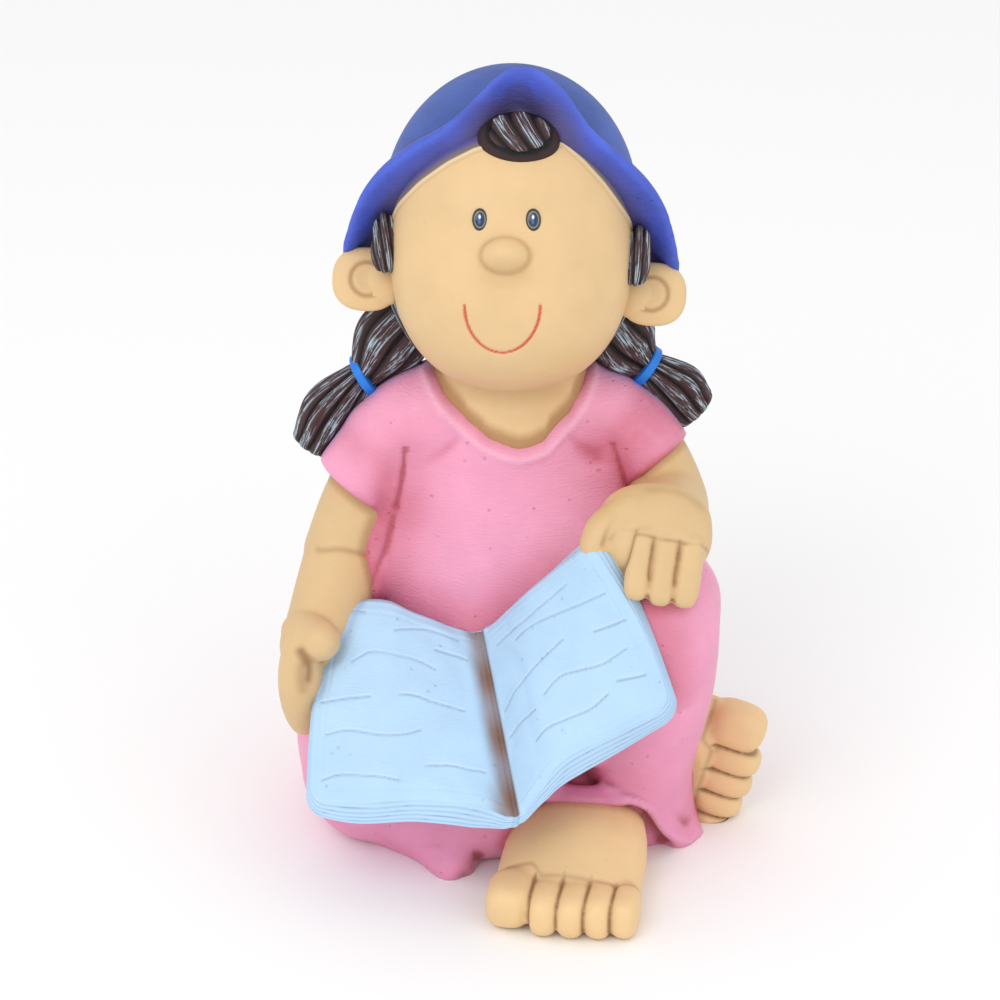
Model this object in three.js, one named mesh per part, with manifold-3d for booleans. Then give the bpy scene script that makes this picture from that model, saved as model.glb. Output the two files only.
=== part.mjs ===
// A garden figurine of a girl in a blue brimmed hat, who sits on the ground with one knee raised
// and an open book on her lap. It is cast in one piece with a flat underside, so it is one solid.
// The frame: +X to the viewer's right, +Y to the figure's back, +Z up, the origin on the
// ground under the seat. Left and right are the viewer's.
import * as THREE from "three";
import { mergeVertices } from "three/addons/utils/BufferGeometryUtils.js";
import Module from "manifold-3d";

const wasm = await Module();
wasm.setup();

// Driving sizes, in millimetres.
const HEIGHT = 384; // ground to the top of the hat
const BRIM_EDGE = 5.5; // thickness of the hat's brim at its edge
const EAR_DEPTH = 9; // thickness of an ear
const COLLAR_STEP = 2.2; // height of the neckline's edge over the skin
const TIE_WIDTH = 7.5; // width of a hair tie
const TIE_PROUD = 1.6; // how far a tie stands proud of the gathered hair
const PAGE_BLOCK = 13; // thickness of the open book's pages
const PAGE_SPREAD = 5; // how much further out the lowest page reaches than the top one
const GUTTER_RIM = 5; // what is left of the pages' thickness under the gutter, at the near edge
const FINGER_WIDTH = 15;
const FOOT_LENGTH = 104;
const FOOT_WIDTH = 71;
const TOE_HEIGHT = 23;

// The pose and the proportions are drawn on a figure of this height, and grow with HEIGHT.
const DRAWN_HEIGHT = 384;
const scale = HEIGHT / DRAWN_HEIGHT;
const at = (x, y, z) => new THREE.Vector3(x, y, z).multiplyScalar(scale);
const radians = THREE.MathUtils.degToRad;

// A closed three.js geometry as a solid, with its seams and poles merged.
function solidOf(geometry) {
  const bare = new THREE.BufferGeometry().setAttribute("position", geometry.getAttribute("position"));
  const merged = mergeVertices(bare.setIndex(geometry.index), 1e-3);
  const corners = merged.index.array;
  const kept = [];
  for (let i = 0; i < corners.length; i += 3) {
    const [a, b, c] = corners.slice(i, i + 3);
    if (a !== b && b !== c && c !== a) kept.push(a, b, c);
  }
  const mesh = new wasm.Mesh({
    numProp: 3,
    vertProperties: merged.attributes.position.array,
    triVerts: new Uint32Array(kept),
  });
  return new wasm.Manifold(mesh);
}

// Moves each vertex of a geometry to place(point, u, v), where u and v are its texture coordinates.
function reshape(geometry, place) {
  const position = geometry.getAttribute("position");
  const uv = geometry.getAttribute("uv");
  const point = new THREE.Vector3();
  for (let i = 0; i < position.count; i++) {
    point.fromBufferAttribute(position, i);
    position.setXYZ(i, ...place(point, uv.getX(i), uv.getY(i)));
  }
  return geometry;
}

const union = (solids) => solids.reduce((joined, next) => joined.add(next));

// An egg at centre with three radii, turned by angles in degrees about X, Y and Z. A power over 2
// makes it squarer. Flutes are shallow grooves that run from pole to pole, as locks of hair do.
function ball(centre, radii, options = {}) {
  const { turn = [0, 0, 0], power = 2, sides = 10, rings = 7, flutes = 0, fluteDepth = 0 } = options;
  const rotation = new THREE.Euler(...turn.map(radians));
  const shape = new THREE.SphereGeometry(1, sides, rings).rotateX(Math.PI / 2);
  return reshape(shape, (p, u) => {
    const lift = (Math.abs(p.x) ** power + Math.abs(p.y) ** power + Math.abs(p.z) ** power) ** (-1 / power);
    const groove = 1 - fluteDepth * (0.5 + 0.5 * Math.cos(2 * Math.PI * flutes * u));
    p.multiplyScalar(lift * (flutes ? groove : 1)).multiply(new THREE.Vector3(...radii).multiplyScalar(scale));
    return p.applyEuler(rotation).add(at(...centre));
  });
}

// A rounded bar through stations [x, y, z, half width, half depth]. The depth is measured
// along facing, and the ends are domes whose length is endShare of the radius there.
function limb(stations, options = {}) {
  const { facing = [0, 0, 1], sides = 10, steps = 4, caps = 2, endShare = 1, flutes = 0, fluteDepth = 0 } = options;
  const path = new THREE.CatmullRomCurve3(stations.map(([x, y, z]) => at(x, y, z)));
  const girth = new THREE.CatmullRomCurve3(
    stations.map(([, , , width, depth = width]) => at(width, depth, 0)),
  );
  const front = new THREE.Vector3(...facing);
  const shape = new THREE.CapsuleGeometry(1, 1, caps, sides, steps);
  return reshape(shape, (p, u) => {
    const along = THREE.MathUtils.clamp(p.y + 0.5, 0, 1);
    const dome = p.y - THREE.MathUtils.clamp(p.y, -0.5, 0.5);
    const radius = girth.getPoint(along);
    const tangent = path.getTangent(along);
    const side = new THREE.Vector3().crossVectors(tangent, front).normalize();
    const top = new THREE.Vector3().crossVectors(side, tangent);
    const groove = flutes ? 1 - fluteDepth * (0.5 + 0.5 * Math.cos(2 * Math.PI * flutes * u)) : 1;
    return path
      .getPoint(along)
      .addScaledVector(side, p.x * radius.x * groove)
      .addScaledVector(top, p.z * radius.y * groove)
      .addScaledVector(tangent, dome * Math.min(radius.x, radius.y) * endShare);
  });
}

// The head's frame: its centre, tilted back so that the face looks up, and leaning to the right.
const HEAD_CENTRE = [2.9, 8, 293.5];
const HEAD_TILT = 25;
const HEAD_LEAN = 3;
const HEAD_RADII = [57, 57, 66];
const HEAD_POWER = 2.3;
const headPlace = new THREE.Matrix4()
  .makeTranslation(at(...HEAD_CENTRE))
  .multiply(new THREE.Matrix4().makeRotationX(radians(-HEAD_TILT)));
const hatPlace = headPlace.clone().multiply(new THREE.Matrix4().makeRotationY(radians(HEAD_LEAN)));
const placed = (geometry, matrix) => solidOf(geometry.applyMatrix4(matrix));

// How far in front of the head's centre its surface lies, x to the side and z above the centre.
function faceDepth(x, z) {
  const [width, depth, height] = HEAD_RADII;
  const rest = 1 - Math.abs(x / width) ** HEAD_POWER - Math.abs(z / height) ** HEAD_POWER;
  return depth * Math.max(rest, 0) ** (1 / HEAD_POWER);
}

// The skull and cheeks in one egg, with a button nose and two small raised eyes.
function head() {
  const nose = [-3, -faceDepth(-3, -7) - 2, -7];
  const forms = [
    ball([0, 0, 0], HEAD_RADII, { power: HEAD_POWER, sides: 20, rings: 11 }),
    ball(nose, [11.5, 9, 8], { rings: 6 }),
  ];
  for (const x of [-15, 9.4]) {
    forms.push(ball([x, -faceDepth(x, 9), 9], [3.1, 1.6, 5.2], { sides: 6, rings: 4 }));
  }
  return union(forms.map((form) => placed(form, headPlace)));
}

// An ear is a thick round disc that faces forward, side is -1 on the left and 1 on the right.
function ear(side) {
  const thickness = EAR_DEPTH / 2 / scale;
  const disc = ball([side * 67.5, 2, -17], [16, thickness, 15], { power: 2.4, sides: 12 });
  const root = ball([side * 58.5, 2, -17], [11, thickness * 1.3, 12], { sides: 6, rings: 5 });
  return placed(disc, hatPlace).add(placed(root, hatPlace));
}

// The brim's half outline: azimuth from the front in degrees, then radius and height, in the
// head's frame, of the band under it, of its edge, and of the line where it leaves the crown.
const BRIM_STATIONS = [
  [0, 27, 57, 40, 81, 29, 70],
  [9, 31, 54, 41, 79, 31, 69],
  [22, 43, 46, 46, 67, 38, 64],
  [40, 50, 37, 55, 49.5, 46, 55],
  [57, 54, 27, 65, 37, 51, 48],
  [74, 57, 17, 75, 20, 55, 43],
  [90, 59, 8, 80.5, -4, 57, 40],
  [135, 68, -6, 84, -24, 64, 33],
  [180, 73, -12, 85, -30, 68, 30],
];

// One column of BRIM_STATIONS at an azimuth in degrees, smooth right round the hat.
function brimValue(column, azimuth) {
  const turned = Math.abs(((azimuth + 180) % 360) - 180);
  const next = Math.max(1, BRIM_STATIONS.findIndex(([a]) => a >= turned));
  const last = BRIM_STATIONS.length - 1;
  const value = (i) => BRIM_STATIONS[i < 0 ? -i : i > last ? 2 * last - i : i][column];
  const angle = (i) => (i < 0 ? -BRIM_STATIONS[-i][0] : i > last ? 360 - BRIM_STATIONS[2 * last - i][0] : BRIM_STATIONS[i][0]);
  const slope = (i) => (value(i + 1) - value(i - 1)) / (angle(i + 1) - angle(i - 1));
  const span = angle(next) - angle(next - 1);
  const t = (turned - angle(next - 1)) / span;
  return (
    value(next - 1) * (1 + 2 * t) * (1 - t) ** 2 +
    slope(next - 1) * span * t * (1 - t) ** 2 +
    value(next) * t * t * (3 - 2 * t) +
    slope(next) * span * t * t * (t - 1)
  );
}

// The brim's section at an azimuth in degrees: the outer face from the crown to the edge, and the
// inner face back to the band, as points of radius and height. Both ends lie inside the crown.
function brimSection(azimuth) {
  const [bandR, bandZ, edgeR, edgeZ, topR, topZ] = [1, 2, 3, 4, 5, 6].map((column) => brimValue(column, azimuth));
  const edge = BRIM_EDGE / scale;
  const inward = 9;
  const outR = edgeR - topR;
  const outZ = edgeZ - topZ;
  const long = Math.hypot(outR, outZ);
  const normal = [-outZ / long, outR / long];
  return [
    [topR - inward, topZ - inward * 0.3],
    [topR, topZ],
    [topR + outR * 0.6 + normal[0] * 1.5, topZ + outZ * 0.6 + normal[1] * 1.5],
    [edgeR, edgeZ],
    [edgeR - normal[0] * edge * 0.5 + outR / long, edgeZ - normal[1] * edge * 0.5 + outZ / long],
    [edgeR - normal[0] * edge - (outR / long) * 2, edgeZ - normal[1] * edge - (outZ / long) * 2],
    [bandR + (edgeR - bandR) * 0.45, bandZ + (edgeZ - bandZ) * 0.38],
    [bandR, bandZ],
    [bandR - inward, bandZ],
  ];
}

// The hat: an egg for its crown, and a brim whose section is swept round it. The brim stands up
// to a point in front and droops over the ears.
function hat() {
  const crown = ball([-0.5, 15, 21], [62, 57, 69], { sides: 24, rings: 11 });
  const corners = brimSection(0).length;
  const brim = new THREE.TorusGeometry(1, 0.5, corners, 36);
  reshape(brim, (p, u, v) => {
    const corner = (corners - Math.round(v * corners)) % corners;
    const [radius, height] = brimSection(360 * u)[corner];
    return at(radius * Math.sin(2 * Math.PI * u), -radius * Math.cos(2 * Math.PI * u), height);
  });
  return placed(crown, hatPlace).add(placed(brim, hatPlace));
}

// The hair: a fluted cap behind the ears, a tuft under the brim's point, and a sideburn in front
// of each ear.
function hair() {
  const cap = ball([0, 14, -6], [60, 56, 60], { sides: 16, rings: 6, flutes: 8, fluteDepth: 0.035 });
  const tuft = ball([2.4, -41, 49], [21.5, 9, 13.5], { turn: [-32, 0, 0], sides: 14, rings: 5, flutes: 7, fluteDepth: 0.1 });
  const forms = [cap, tuft];
  for (const side of [-1, 1]) {
    forms.push(ball([side * 57, -13, -4], [6.5, 9, 18], { turn: [0, side * 6, 0], sides: 7, rings: 5 }));
  }
  return union(forms.map((form) => placed(form, hatPlace)));
}

// A pigtail: fluted bunches above and below a plain tie.
function pigtail(root, bunch, tie, tail, tip) {
  const gathered = 9.5;
  const direction = new THREE.Vector3(...tail).sub(new THREE.Vector3(...bunch)).normalize();
  const half = direction.clone().multiplyScalar(TIE_WIDTH / 2 / scale / 2);
  const tieAt = new THREE.Vector3(...tie);
  const band = gathered + 1 + TIE_PROUD / scale;
  const upper = limb([[...root, 18], [...bunch, 18.5, 17], [...tie, gathered]], { facing: [0, 1, 0], sides: 12, steps: 3, caps: 1, flutes: 6, fluteDepth: 0.13, endShare: 0.3 });
  const lower = limb([[...tie, gathered], [...tail, 16.5, 14], [...tip, 13.5, 11]], { facing: [0, 1, 0], sides: 12, steps: 3, flutes: 6, fluteDepth: 0.14, endShare: 0.45 });
  const ring = limb(
    [
      [...tieAt.clone().sub(half).toArray(), band],
      [...tieAt.clone().add(half).toArray(), band],
    ],
    { facing: [0, 1, 0], sides: 10, steps: 1, caps: 1, endShare: TIE_WIDTH / 4 / scale / band },
  );
  return union([upper, lower, ring].map(solidOf));
}

// The trunk, rising from the seat to the neck, and the shoulders. The dress is the trunk itself,
// and the skin under it is the trunk made smaller all round by inset.
function trunk(inset) {
  const slim = inset / scale;
  const body = limb(
    [
      [0, 32, -6, 74, 52],
      [0, 30, 45, 73, 57],
      [-2, 23, 105, 68, 53],
      [0, 20, 160, 59, 47],
      [3, 19, 192, 52 - slim, 38 - slim],
      [4, 19, 214, 42 - slim, 31 - slim],
    ],
    { facing: [0, -1, 0], sides: 18, steps: 6, caps: 1, endShare: 0.5 },
  );
  const row = [[-55, 14, 193, 25], [-36, 16, 205, 27], [-12, 18, 211, 26], [22, 18, 212, 26], [43, 16, 207, 25], [62, 13, 199, 21]];
  const shoulders = limb(row.map(([x, y, z, r]) => [x, y, z, r - slim]), { steps: 3 });
  return union([body, shoulders].map(solidOf));
}

// The dress's neck opening, a deep U in front that rises to the back of the neck.
function neckOpening() {
  const stations = [[5, 30, 262, 52, 44], [4, 15, 238, 48, 40], [4, 4, 222, 41, 31], [4, -12, 206, 23, 17]];
  return solidOf(limb(stations, { facing: [0, -1, 0], sides: 14, steps: 4, endShare: 0.6 }));
}

function neck() {
  const stations = [[4, 20, 262, 34, 31], [4, 17, 238, 38, 30], [4, 14, 222, 38, 25], [4, 10, 200, 34, 20]];
  return solidOf(limb(stations, { facing: [0, -1, 0], sides: 12, steps: 3, caps: 1 }));
}

// A short sleeve, from inside the shoulder to its hem.
const sleeve = (root, shoulder, hem, radius) =>
  solidOf(
    limb([[...root, radius - 2], [...shoulder, radius], [...hem, radius + 0.5]], {
      facing: [0, -1, 0],
      sides: 12,
      steps: 3,
      caps: 1,
      endShare: 0.12,
    }),
  );

// The left arm hangs down and holds the book's edge between its thumb and its fingers.
function leftArm() {
  const arm = limb(
    [
      [-60, 12, 188, 18],
      [-72, 9, 160, 18.5],
      [-80, 3, 138, 18.5],
      [-84, -14, 122, 19.5],
      [-94, -38, 108, 15],
    ],
    { facing: [0, -1, 0], steps: 5, caps: 1 },
  );
  const palm = ball([-98, -47, 92], [11.5, 15, 31], { turn: [12, 0, 5] });
  const thumb = limb([[-97, -40, 116, 11], [-88, -54, 119, 10]], { sides: 8, steps: 1 });
  return union([arm, palm, thumb].map(solidOf));
}

// The right arm rests its hand on the raised knee, with four fingers side by side over its front
// and the thumb along the book's corner. A finger is given by its middle.
function rightArm() {
  const arm = limb(
    [
      [62, 12, 198, 19],
      [73, 6, 184, 18],
      [80, -12, 173, 17.5],
      [78, -38, 175, 18],
    ],
    { caps: 1 },
  );
  const palm = ball([68.5, -54, 181], [28, 24, 16], { turn: [34, 0, 0], power: 2.3, sides: 12 });
  const thumb = limb([[56, -50, 190, 10], [45, -59, 183, 9.5], [41, -64, 176, 8]], { sides: 8, steps: 2 });
  const fingers = [
    [51, -66, 170],
    [62.3, -71, 168.5],
    [73.5, -72, 166],
    [84.7, -72, 165],
  ].map((middle) => ball(middle, [FINGER_WIDTH / 2 / scale, 9.5, 17.5], { turn: [-28, 8, 0], power: 3.2, rings: 6 }));
  return union([arm, palm, thumb, ...fingers].map(solidOf));
}

// A foot from its heel, along its own X, with the big toe on the side that big gives, -1 or 1.
// The toes stand on a curve, and each is an egg of its own width.
function foot(big, matrix) {
  const long = FOOT_LENGTH / scale;
  const wide = FOOT_WIDTH / 2 / scale;
  const toeHalf = TOE_HEIGHT / 2 / scale;
  const body = limb(
    [
      [long * 0.16, 0, 20, wide * 0.8, 24],
      [long * 0.42, 0, 17, wide * 0.96, 22],
      [long * 0.72, 0, toeHalf - 1, wide, toeHalf + 2],
    ],
    { sides: 12, steps: 3, caps: 1, endShare: 0.7 },
  );
  const forms = [body];
  const widths = [0.3, 0.19, 0.18, 0.175, 0.165];
  const reach = [0.85, 0.885, 0.88, 0.865, 0.84];
  let edge = wide;
  widths.forEach((share, i) => {
    const half = share * wide;
    const drop = i === 0 ? 0 : 1;
    forms.push(
      ball([reach[i] * long, big * (edge - half), toeHalf - drop], [i === 0 ? 15 : 14, half + 2, toeHalf - drop * 0.5], {
        sides: 8,
        rings: 5,
        power: 2.8,
      }),
    );
    edge -= 2 * half;
  });
  return union(forms.map((form) => placed(form, matrix)));
}

// A frame at origin whose X, Y and Z point along the given directions, squared up from X and Y.
function frameAt(origin, alongX, alongY) {
  const x = new THREE.Vector3(...alongX).normalize();
  const z = new THREE.Vector3().crossVectors(x, new THREE.Vector3(...alongY)).normalize();
  const y = new THREE.Vector3().crossVectors(z, x);
  return new THREE.Matrix4().makeBasis(x, y, z).setPosition(at(...origin));
}

// The legs under the cloth: the right knee is raised, the left leg lies folded on the ground, and
// the lap between them carries the book.
function legs() {
  const raisedThigh = limb([[40, 44, 46, 40], [56, 4, 96, 39], [67, -36, 130, 36]], { steps: 3 });
  const raisedShin = limb(
    [
      [68, -42, 134, 35.5],
      [68, -51, 98, 33],
      [65, -37, 45, 28],
      [66, -24, 12, 29, 26],
      [67, -20, 0, 31, 26],
    ],
    { facing: [0, -1, 0.2], sides: 12, steps: 5, caps: 1 },
  );
  const foldedThigh = limb([[-42, 44, 38, 43], [-62, 8, 42, 42], [-62, -26, 35, 39]], { steps: 3 });
  const foldedShin = limb([[-57, -26, 31, 35], [-20, -46, 25, 28], [40, -34, 24, 26], [80, -10, 30, 20]]);
  const core = ball([4, -14, 70], [56, 38, 46], { sides: 8, rings: 5 });
  const lap = ball([-22, -42, 68], [60, 46, 25], { turn: [45, 0, 0] });
  const bookRest = ball([40, -47, 98], [38, 26, 46], { turn: [-17, 0, 0] });
  const belly = ball([28, 2, 134], [52, 39, 52], { sides: 12, rings: 7 });
  const side = limb([[-56, 6, 172, 9], [-61, -1, 150, 10], [-62, -8, 126, 11]], { sides: 6, steps: 2, caps: 1 });
  const flap = limb([[-60, -26, 14, 22], [-36, -48, 10, 18], [-25, -68, 4, 12]], { steps: 3 });
  const hem = limb(
    [
      [8, -56, 40, 5],
      [24, -63, 40, 5.5],
      [44, -65, 39, 6],
      [61, -61, 35, 6],
      [71, -56, 27, 6],
      [79, -50, 13, 6],
      [86, -42, 2, 7],
      [91, -32, 1, 8],
    ],
    { sides: 6, steps: 7, caps: 1 },
  );
  return union([raisedThigh, raisedShin, foldedThigh, foldedShin, core, lap, bookRest, belly, side, flap, hem].map(solidOf));
}

// The open book: the near and the far edge of its top pages, and the near rim of its lowest ones,
// as curves from the left page's outer edge, through the gutter in the middle, to the right
// page's outer edge. The rim is drawn for a page block of this thickness.
const NEAR_EDGE = [
  [-91.1, -98, 57.3],
  [-68.2, -102, 58.6],
  [-39.9, -105, 62],
  [-12.7, -108, 61.1],
  [5.1, -109, 55.2],
  [16.3, -108, 71.3],
  [28.3, -106, 85.2],
  [52.4, -102, 96.3],
  [77.1, -96, 106.7],
];
const NEAR_RIM = [
  [-91, -102, 52],
  [-68.2, -106, 49.5],
  [-39.9, -109, 52.4],
  [-12.7, -111, 50.4],
  [4.6, -111.5, 51.2],
  [17.2, -110, 63.4],
  [29.3, -107, 72.9],
  [53.6, -101, 85.6],
  [79.8, -94, 99.2],
];
const FAR_EDGE = [
  [-82, -30, 127.4],
  [-58, -31, 128],
  [-40, -32.5, 121.5],
  [-17, -34, 114.2],
  [-8.7, -36, 115.3],
  [-2.4, -41, 126],
  [5, -47, 136.5],
  [22, -60, 158],
  [39.2, -72, 177.8],
];
const DRAWN_BLOCK = 13;
const DRAWN_GUTTER = 5;

// The pages are a box bent between those curves. Their outer edges bow out a little on the way to
// the far corners, and the lowest pages reach further out all round, so that their edges show.
function book() {
  const [near, far, rim] = [NEAR_EDGE, FAR_EDGE, NEAR_RIM].map(
    (curve) => new THREE.CatmullRomCurve3(curve.map((p) => at(...p))),
  );
  const thickness = PAGE_BLOCK / scale / DRAWN_BLOCK;
  const gutter = GUTTER_RIM / scale / DRAWN_GUTTER;
  const bow = 4 * scale;
  const shape = new THREE.BoxGeometry(1, 1, 1, 12, 3, 1);
  return solidOf(
    reshape(shape, (p) => {
      const across = p.x + 0.5;
      const away = p.y + 0.5;
      const depth = 0.5 - p.z;
      const top = near.getPoint(across).lerp(far.getPoint(across), away);
      const spread = near.getTangent(across).lerp(far.getTangent(across), away);
      const rise = far.getPoint(across).sub(near.getPoint(across)).normalize();
      const normal = new THREE.Vector3().crossVectors(spread, rise).normalize();
      const nearGutter = Math.max(1 - Math.abs(p.x) * 8, 0);
      const drop = rim.getPoint(across).sub(near.getPoint(across));
      drop.multiplyScalar(thickness + (gutter - thickness) * nearGutter);
      const under = normal.multiplyScalar(-PAGE_BLOCK).addScaledVector(rise, PAGE_SPREAD);
      return top
        .addScaledVector(drop.lerp(under, away), depth)
        .addScaledVector(spread, p.x * (depth * PAGE_SPREAD + 8 * bow * away * (1 - away)));
    }),
  );
}

// The figure: every form joined, then cut flat at the ground.
function figure() {
  const dress = union([
    trunk(0),
    sleeve([-32, 16, 201], [-53, 14, 194], [-71.5, 8.5, 171], 23.5),
    sleeve([36, 16, 203], [56, 13, 201], [71, 6, 185], 22.5),
    legs(),
  ]);
  const joined = union([
    dress.subtract(neckOpening()),
    trunk(COLLAR_STEP),
    neck(),
    head(),
    ear(-1),
    ear(1),
    hair(),
    hat(),
    pigtail([-44, 24, 256], [-56, 25, 239], [-67, 24, 222], [-83, 25, 204], [-92, 26, 187]),
    pigtail([46, 24, 256], [58, 25, 238], [68, 24, 228], [82, 24, 215], [91, 24, 206]),
    leftArm(),
    rightArm(),
    foot(-1, frameAt([43.5, -29.5, 0], [-0.19, -1, 0], [1, -0.19, 0])),
    foot(1, frameAt([28, 15, 49], [1, -0.22, -0.27], [0.28, 0, 1])),
    book(),
  ]);
  const ground = new THREE.BoxGeometry(3 * HEIGHT, 3 * HEIGHT, HEIGHT).translate(0, 0, -HEIGHT / 2);
  return joined.subtract(solidOf(ground));
}

// A solid as a mesh with its own name and material.
function meshOf(name, solid, material) {
  const { numProp, numVert, vertProperties, triVerts } = solid.getMesh();
  const position = new Float32Array(numVert * 3);
  for (let i = 0; i < numVert; i++) position.set(vertProperties.subarray(i * numProp, i * numProp + 3), i * 3);
  const geometry = new THREE.BufferGeometry()
    .setAttribute("position", new THREE.BufferAttribute(position, 3))
    .setIndex(new THREE.BufferAttribute(triVerts, 1));
  geometry.computeVertexNormals();
  const mesh = new THREE.Mesh(geometry, material);
  mesh.name = name;
  return mesh;
}

const paintedResin = new THREE.MeshStandardMaterial({ color: 0xe58fae, roughness: 0.6, metalness: 0 });
const group = new THREE.Group();
group.add(meshOf("girl_figurine", figure(), paintedResin));
export default group;
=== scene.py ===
"""The looks of a cast and hand-painted garden figurine: a girl in a blue brimmed hat who sits on
the ground with one knee raised and an open book on her lap.

Lengths are in millimetres on the figure and turn into metres when a mesh is made. X is to the
viewer's right, Y to the figure's back and Z up. Left and right are the viewer's.
"""
import math

import bpy
import numpy as np
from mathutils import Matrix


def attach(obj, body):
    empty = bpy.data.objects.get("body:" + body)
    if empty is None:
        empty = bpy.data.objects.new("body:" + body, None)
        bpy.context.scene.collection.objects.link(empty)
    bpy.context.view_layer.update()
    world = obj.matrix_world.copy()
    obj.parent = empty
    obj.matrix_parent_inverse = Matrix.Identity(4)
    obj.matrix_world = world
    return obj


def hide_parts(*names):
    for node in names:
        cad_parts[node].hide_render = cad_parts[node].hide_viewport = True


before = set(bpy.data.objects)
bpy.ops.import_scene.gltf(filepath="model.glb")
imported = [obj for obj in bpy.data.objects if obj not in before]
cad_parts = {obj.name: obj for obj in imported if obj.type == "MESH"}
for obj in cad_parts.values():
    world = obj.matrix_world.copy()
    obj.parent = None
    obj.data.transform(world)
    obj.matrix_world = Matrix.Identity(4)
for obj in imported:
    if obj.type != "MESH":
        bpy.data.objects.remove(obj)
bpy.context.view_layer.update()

# The camera, 1.4 metres from the middle of the figure and 25 degrees above it, with a long lens
# and everything in focus.
CAMERA_AIM = np.array([-2.4, -20.0, 177.0])
CAMERA_DISTANCE = 1400.0
CAMERA_RISE = math.radians(25)
PIXELS_PER_MM = 2.09
back_to_camera = np.array([0, -math.cos(CAMERA_RISE), math.sin(CAMERA_RISE)])
camera = bpy.data.objects.new("camera", bpy.data.cameras.new("camera"))
camera.data.sensor_width = 36
camera.data.lens = PIXELS_PER_MM * CAMERA_DISTANCE / 1000 * camera.data.sensor_width
camera.location = (CAMERA_AIM + CAMERA_DISTANCE * back_to_camera) / 1000
camera.rotation_euler = (math.pi / 2 - CAMERA_RISE, 0, 0)
bpy.context.scene.collection.objects.link(camera)
bpy.context.scene.camera = camera

# The head: an egg a little squarer than a sphere, tilted back so that the face looks up, cast
# with a button nose and a thin groove for the mouth, and painted tan, with painted shade round
# the nose and along the hat's edge.
HEAD_CENTRE = np.array([2.9, 8, 293.5])
HEAD_TILT = 25
HEAD_LEAN = 3
HEAD_RADII = (57, 57, 66)
HEAD_POWER = 2.3
NOSE_CENTRE = (-3, -7.2)
NOSE_RADII = (11.2, 8.2)
NOSE_DEPTH = 10.5
MOUTH_CENTRE = (-4.2, -29.5)
MOUTH_RADII = (17.2, 20.6)
MOUTH_GROOVE = 0.9
SKIN = np.array([0.74, 0.51, 0.26])
SKIN_SHADE = np.array([0.4, 0.2, 0.075])
MOUTH_RED = np.array([0.62, 0.05, 0.03])


def turning(x=0, y=0, z=0):
    """The matrix that turns by z, then y, then x degrees about those axes, each written as
    cosines and sines in the plane of the other two."""
    cx, cy, cz = np.cos(np.radians([x, y, z]))
    sx, sy, sz = np.sin(np.radians([x, y, z]))
    about_x = np.array([[1, 0, 0], [0, cx, -sx], [0, sx, cx]])
    about_y = np.array([[cy, 0, sy], [0, 1, 0], [-sy, 0, cy]])
    about_z = np.array([[cz, -sz, 0], [sz, cz, 0], [0, 0, 1]])
    return about_x @ about_y @ about_z


head_turn = turning(x=-HEAD_TILT)
hat_turn = head_turn @ turning(y=HEAD_LEAN)


def on_head(points, turn=head_turn):
    """Points of the head's own frame set in the figure: turned, then moved to its centre."""
    return points @ turn.T + HEAD_CENTRE


def ease(low, high, value):
    """0 below low, 1 above high, and 3s^2 - 2s^3 of the share s of the way between."""
    share = np.clip((value - low) / (high - low), 0, 1)
    return share * share * (3 - 2 * share)


def egg(centre, radii, turn=(0, 0, 0), power=2, rows=40, columns=64, across=None, ripple=None):
    """Rings of an egg: each direction on a ball, by its angle round and its height angle, is
    stretched until the powers of its three parts add up to 1, and then scaled by the radii.
    across gives the angles round, and ripple(angle, height angle) scales each point."""
    height = np.linspace(-90, 90, rows + 2)[1:-1, None]
    round_it = np.linspace(-180, 180, columns, endpoint=False)[None] if across is None else across[None]
    height, round_it = np.radians(height), np.radians(round_it)
    way = np.stack([
        np.sin(round_it) * np.cos(height),
        -np.cos(round_it) * np.cos(height),
        np.sin(height) + 0 * round_it,
    ], -1)
    way = way / (np.abs(way) ** power).sum(-1, keepdims=True) ** (1 / power)
    if ripple is not None:
        way = way * ripple(round_it, height)[..., None]
    return way * radii @ turning(*turn).T + centre


def closed(rings, looped=False):
    """Vertices and faces of a grid of rings: four-sided faces between neighbours, and a fan to a
    middle point at each end, or faces from the last ring to the first if looped. The faces are
    turned round if the volume that they hold comes out negative."""
    count, columns = rings.shape[:2]
    points = rings.reshape(-1, 3)
    index = np.arange(count * columns).reshape(count, columns)
    beside = np.roll(index, -1, axis=1)
    if looped:
        after, after_beside = np.roll(index, -1, axis=0), np.roll(beside, -1, axis=0)
        faces = np.stack([index, beside, after_beside, after], -1).reshape(-1, 4)
    else:
        faces = np.stack([index[:-1], beside[:-1], beside[1:], index[1:]], -1).reshape(-1, 4)
        ends = rings[[0, -1]].mean(1)
        points = np.vstack([points, ends + (ends - rings[[1, -2]].mean(1)) * 0.3])
        first = np.full(columns, count * columns)
        start = np.stack([beside[0], index[0], first, first], -1)
        end = np.stack([index[-1], beside[-1], first + 1, first + 1], -1)
        faces = np.vstack([faces, start, end])
    a, b, c, d = (points[faces[:, k]] for k in range(4))
    volume = (np.cross(a, b) * c).sum() + (np.cross(a, c) * d).sum()
    return points, faces if volume > 0 else faces[:, ::-1]


def mesh_of(name, shells):
    """One mesh in metres out of closed shells. A face with a repeated corner has three sides."""
    mesh = bpy.data.meshes.new(name)
    start, every_point, every_face = 0, [], []
    for points, faces in shells:
        every_point.append(points / 1000)
        for face in (faces + start).tolist():
            every_face.append(list(dict.fromkeys(face)))
        start += len(points)
    mesh.from_pydata(np.vstack(every_point), [], every_face)
    mesh.shade_smooth()
    return mesh


def points_of(mesh):
    """The mesh's vertices in millimetres."""
    flat = np.empty(len(mesh.vertices) * 3, np.float32)
    mesh.vertices.foreach_get("co", flat)
    return flat.reshape(-1, 3).astype(float) * 1000


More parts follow.
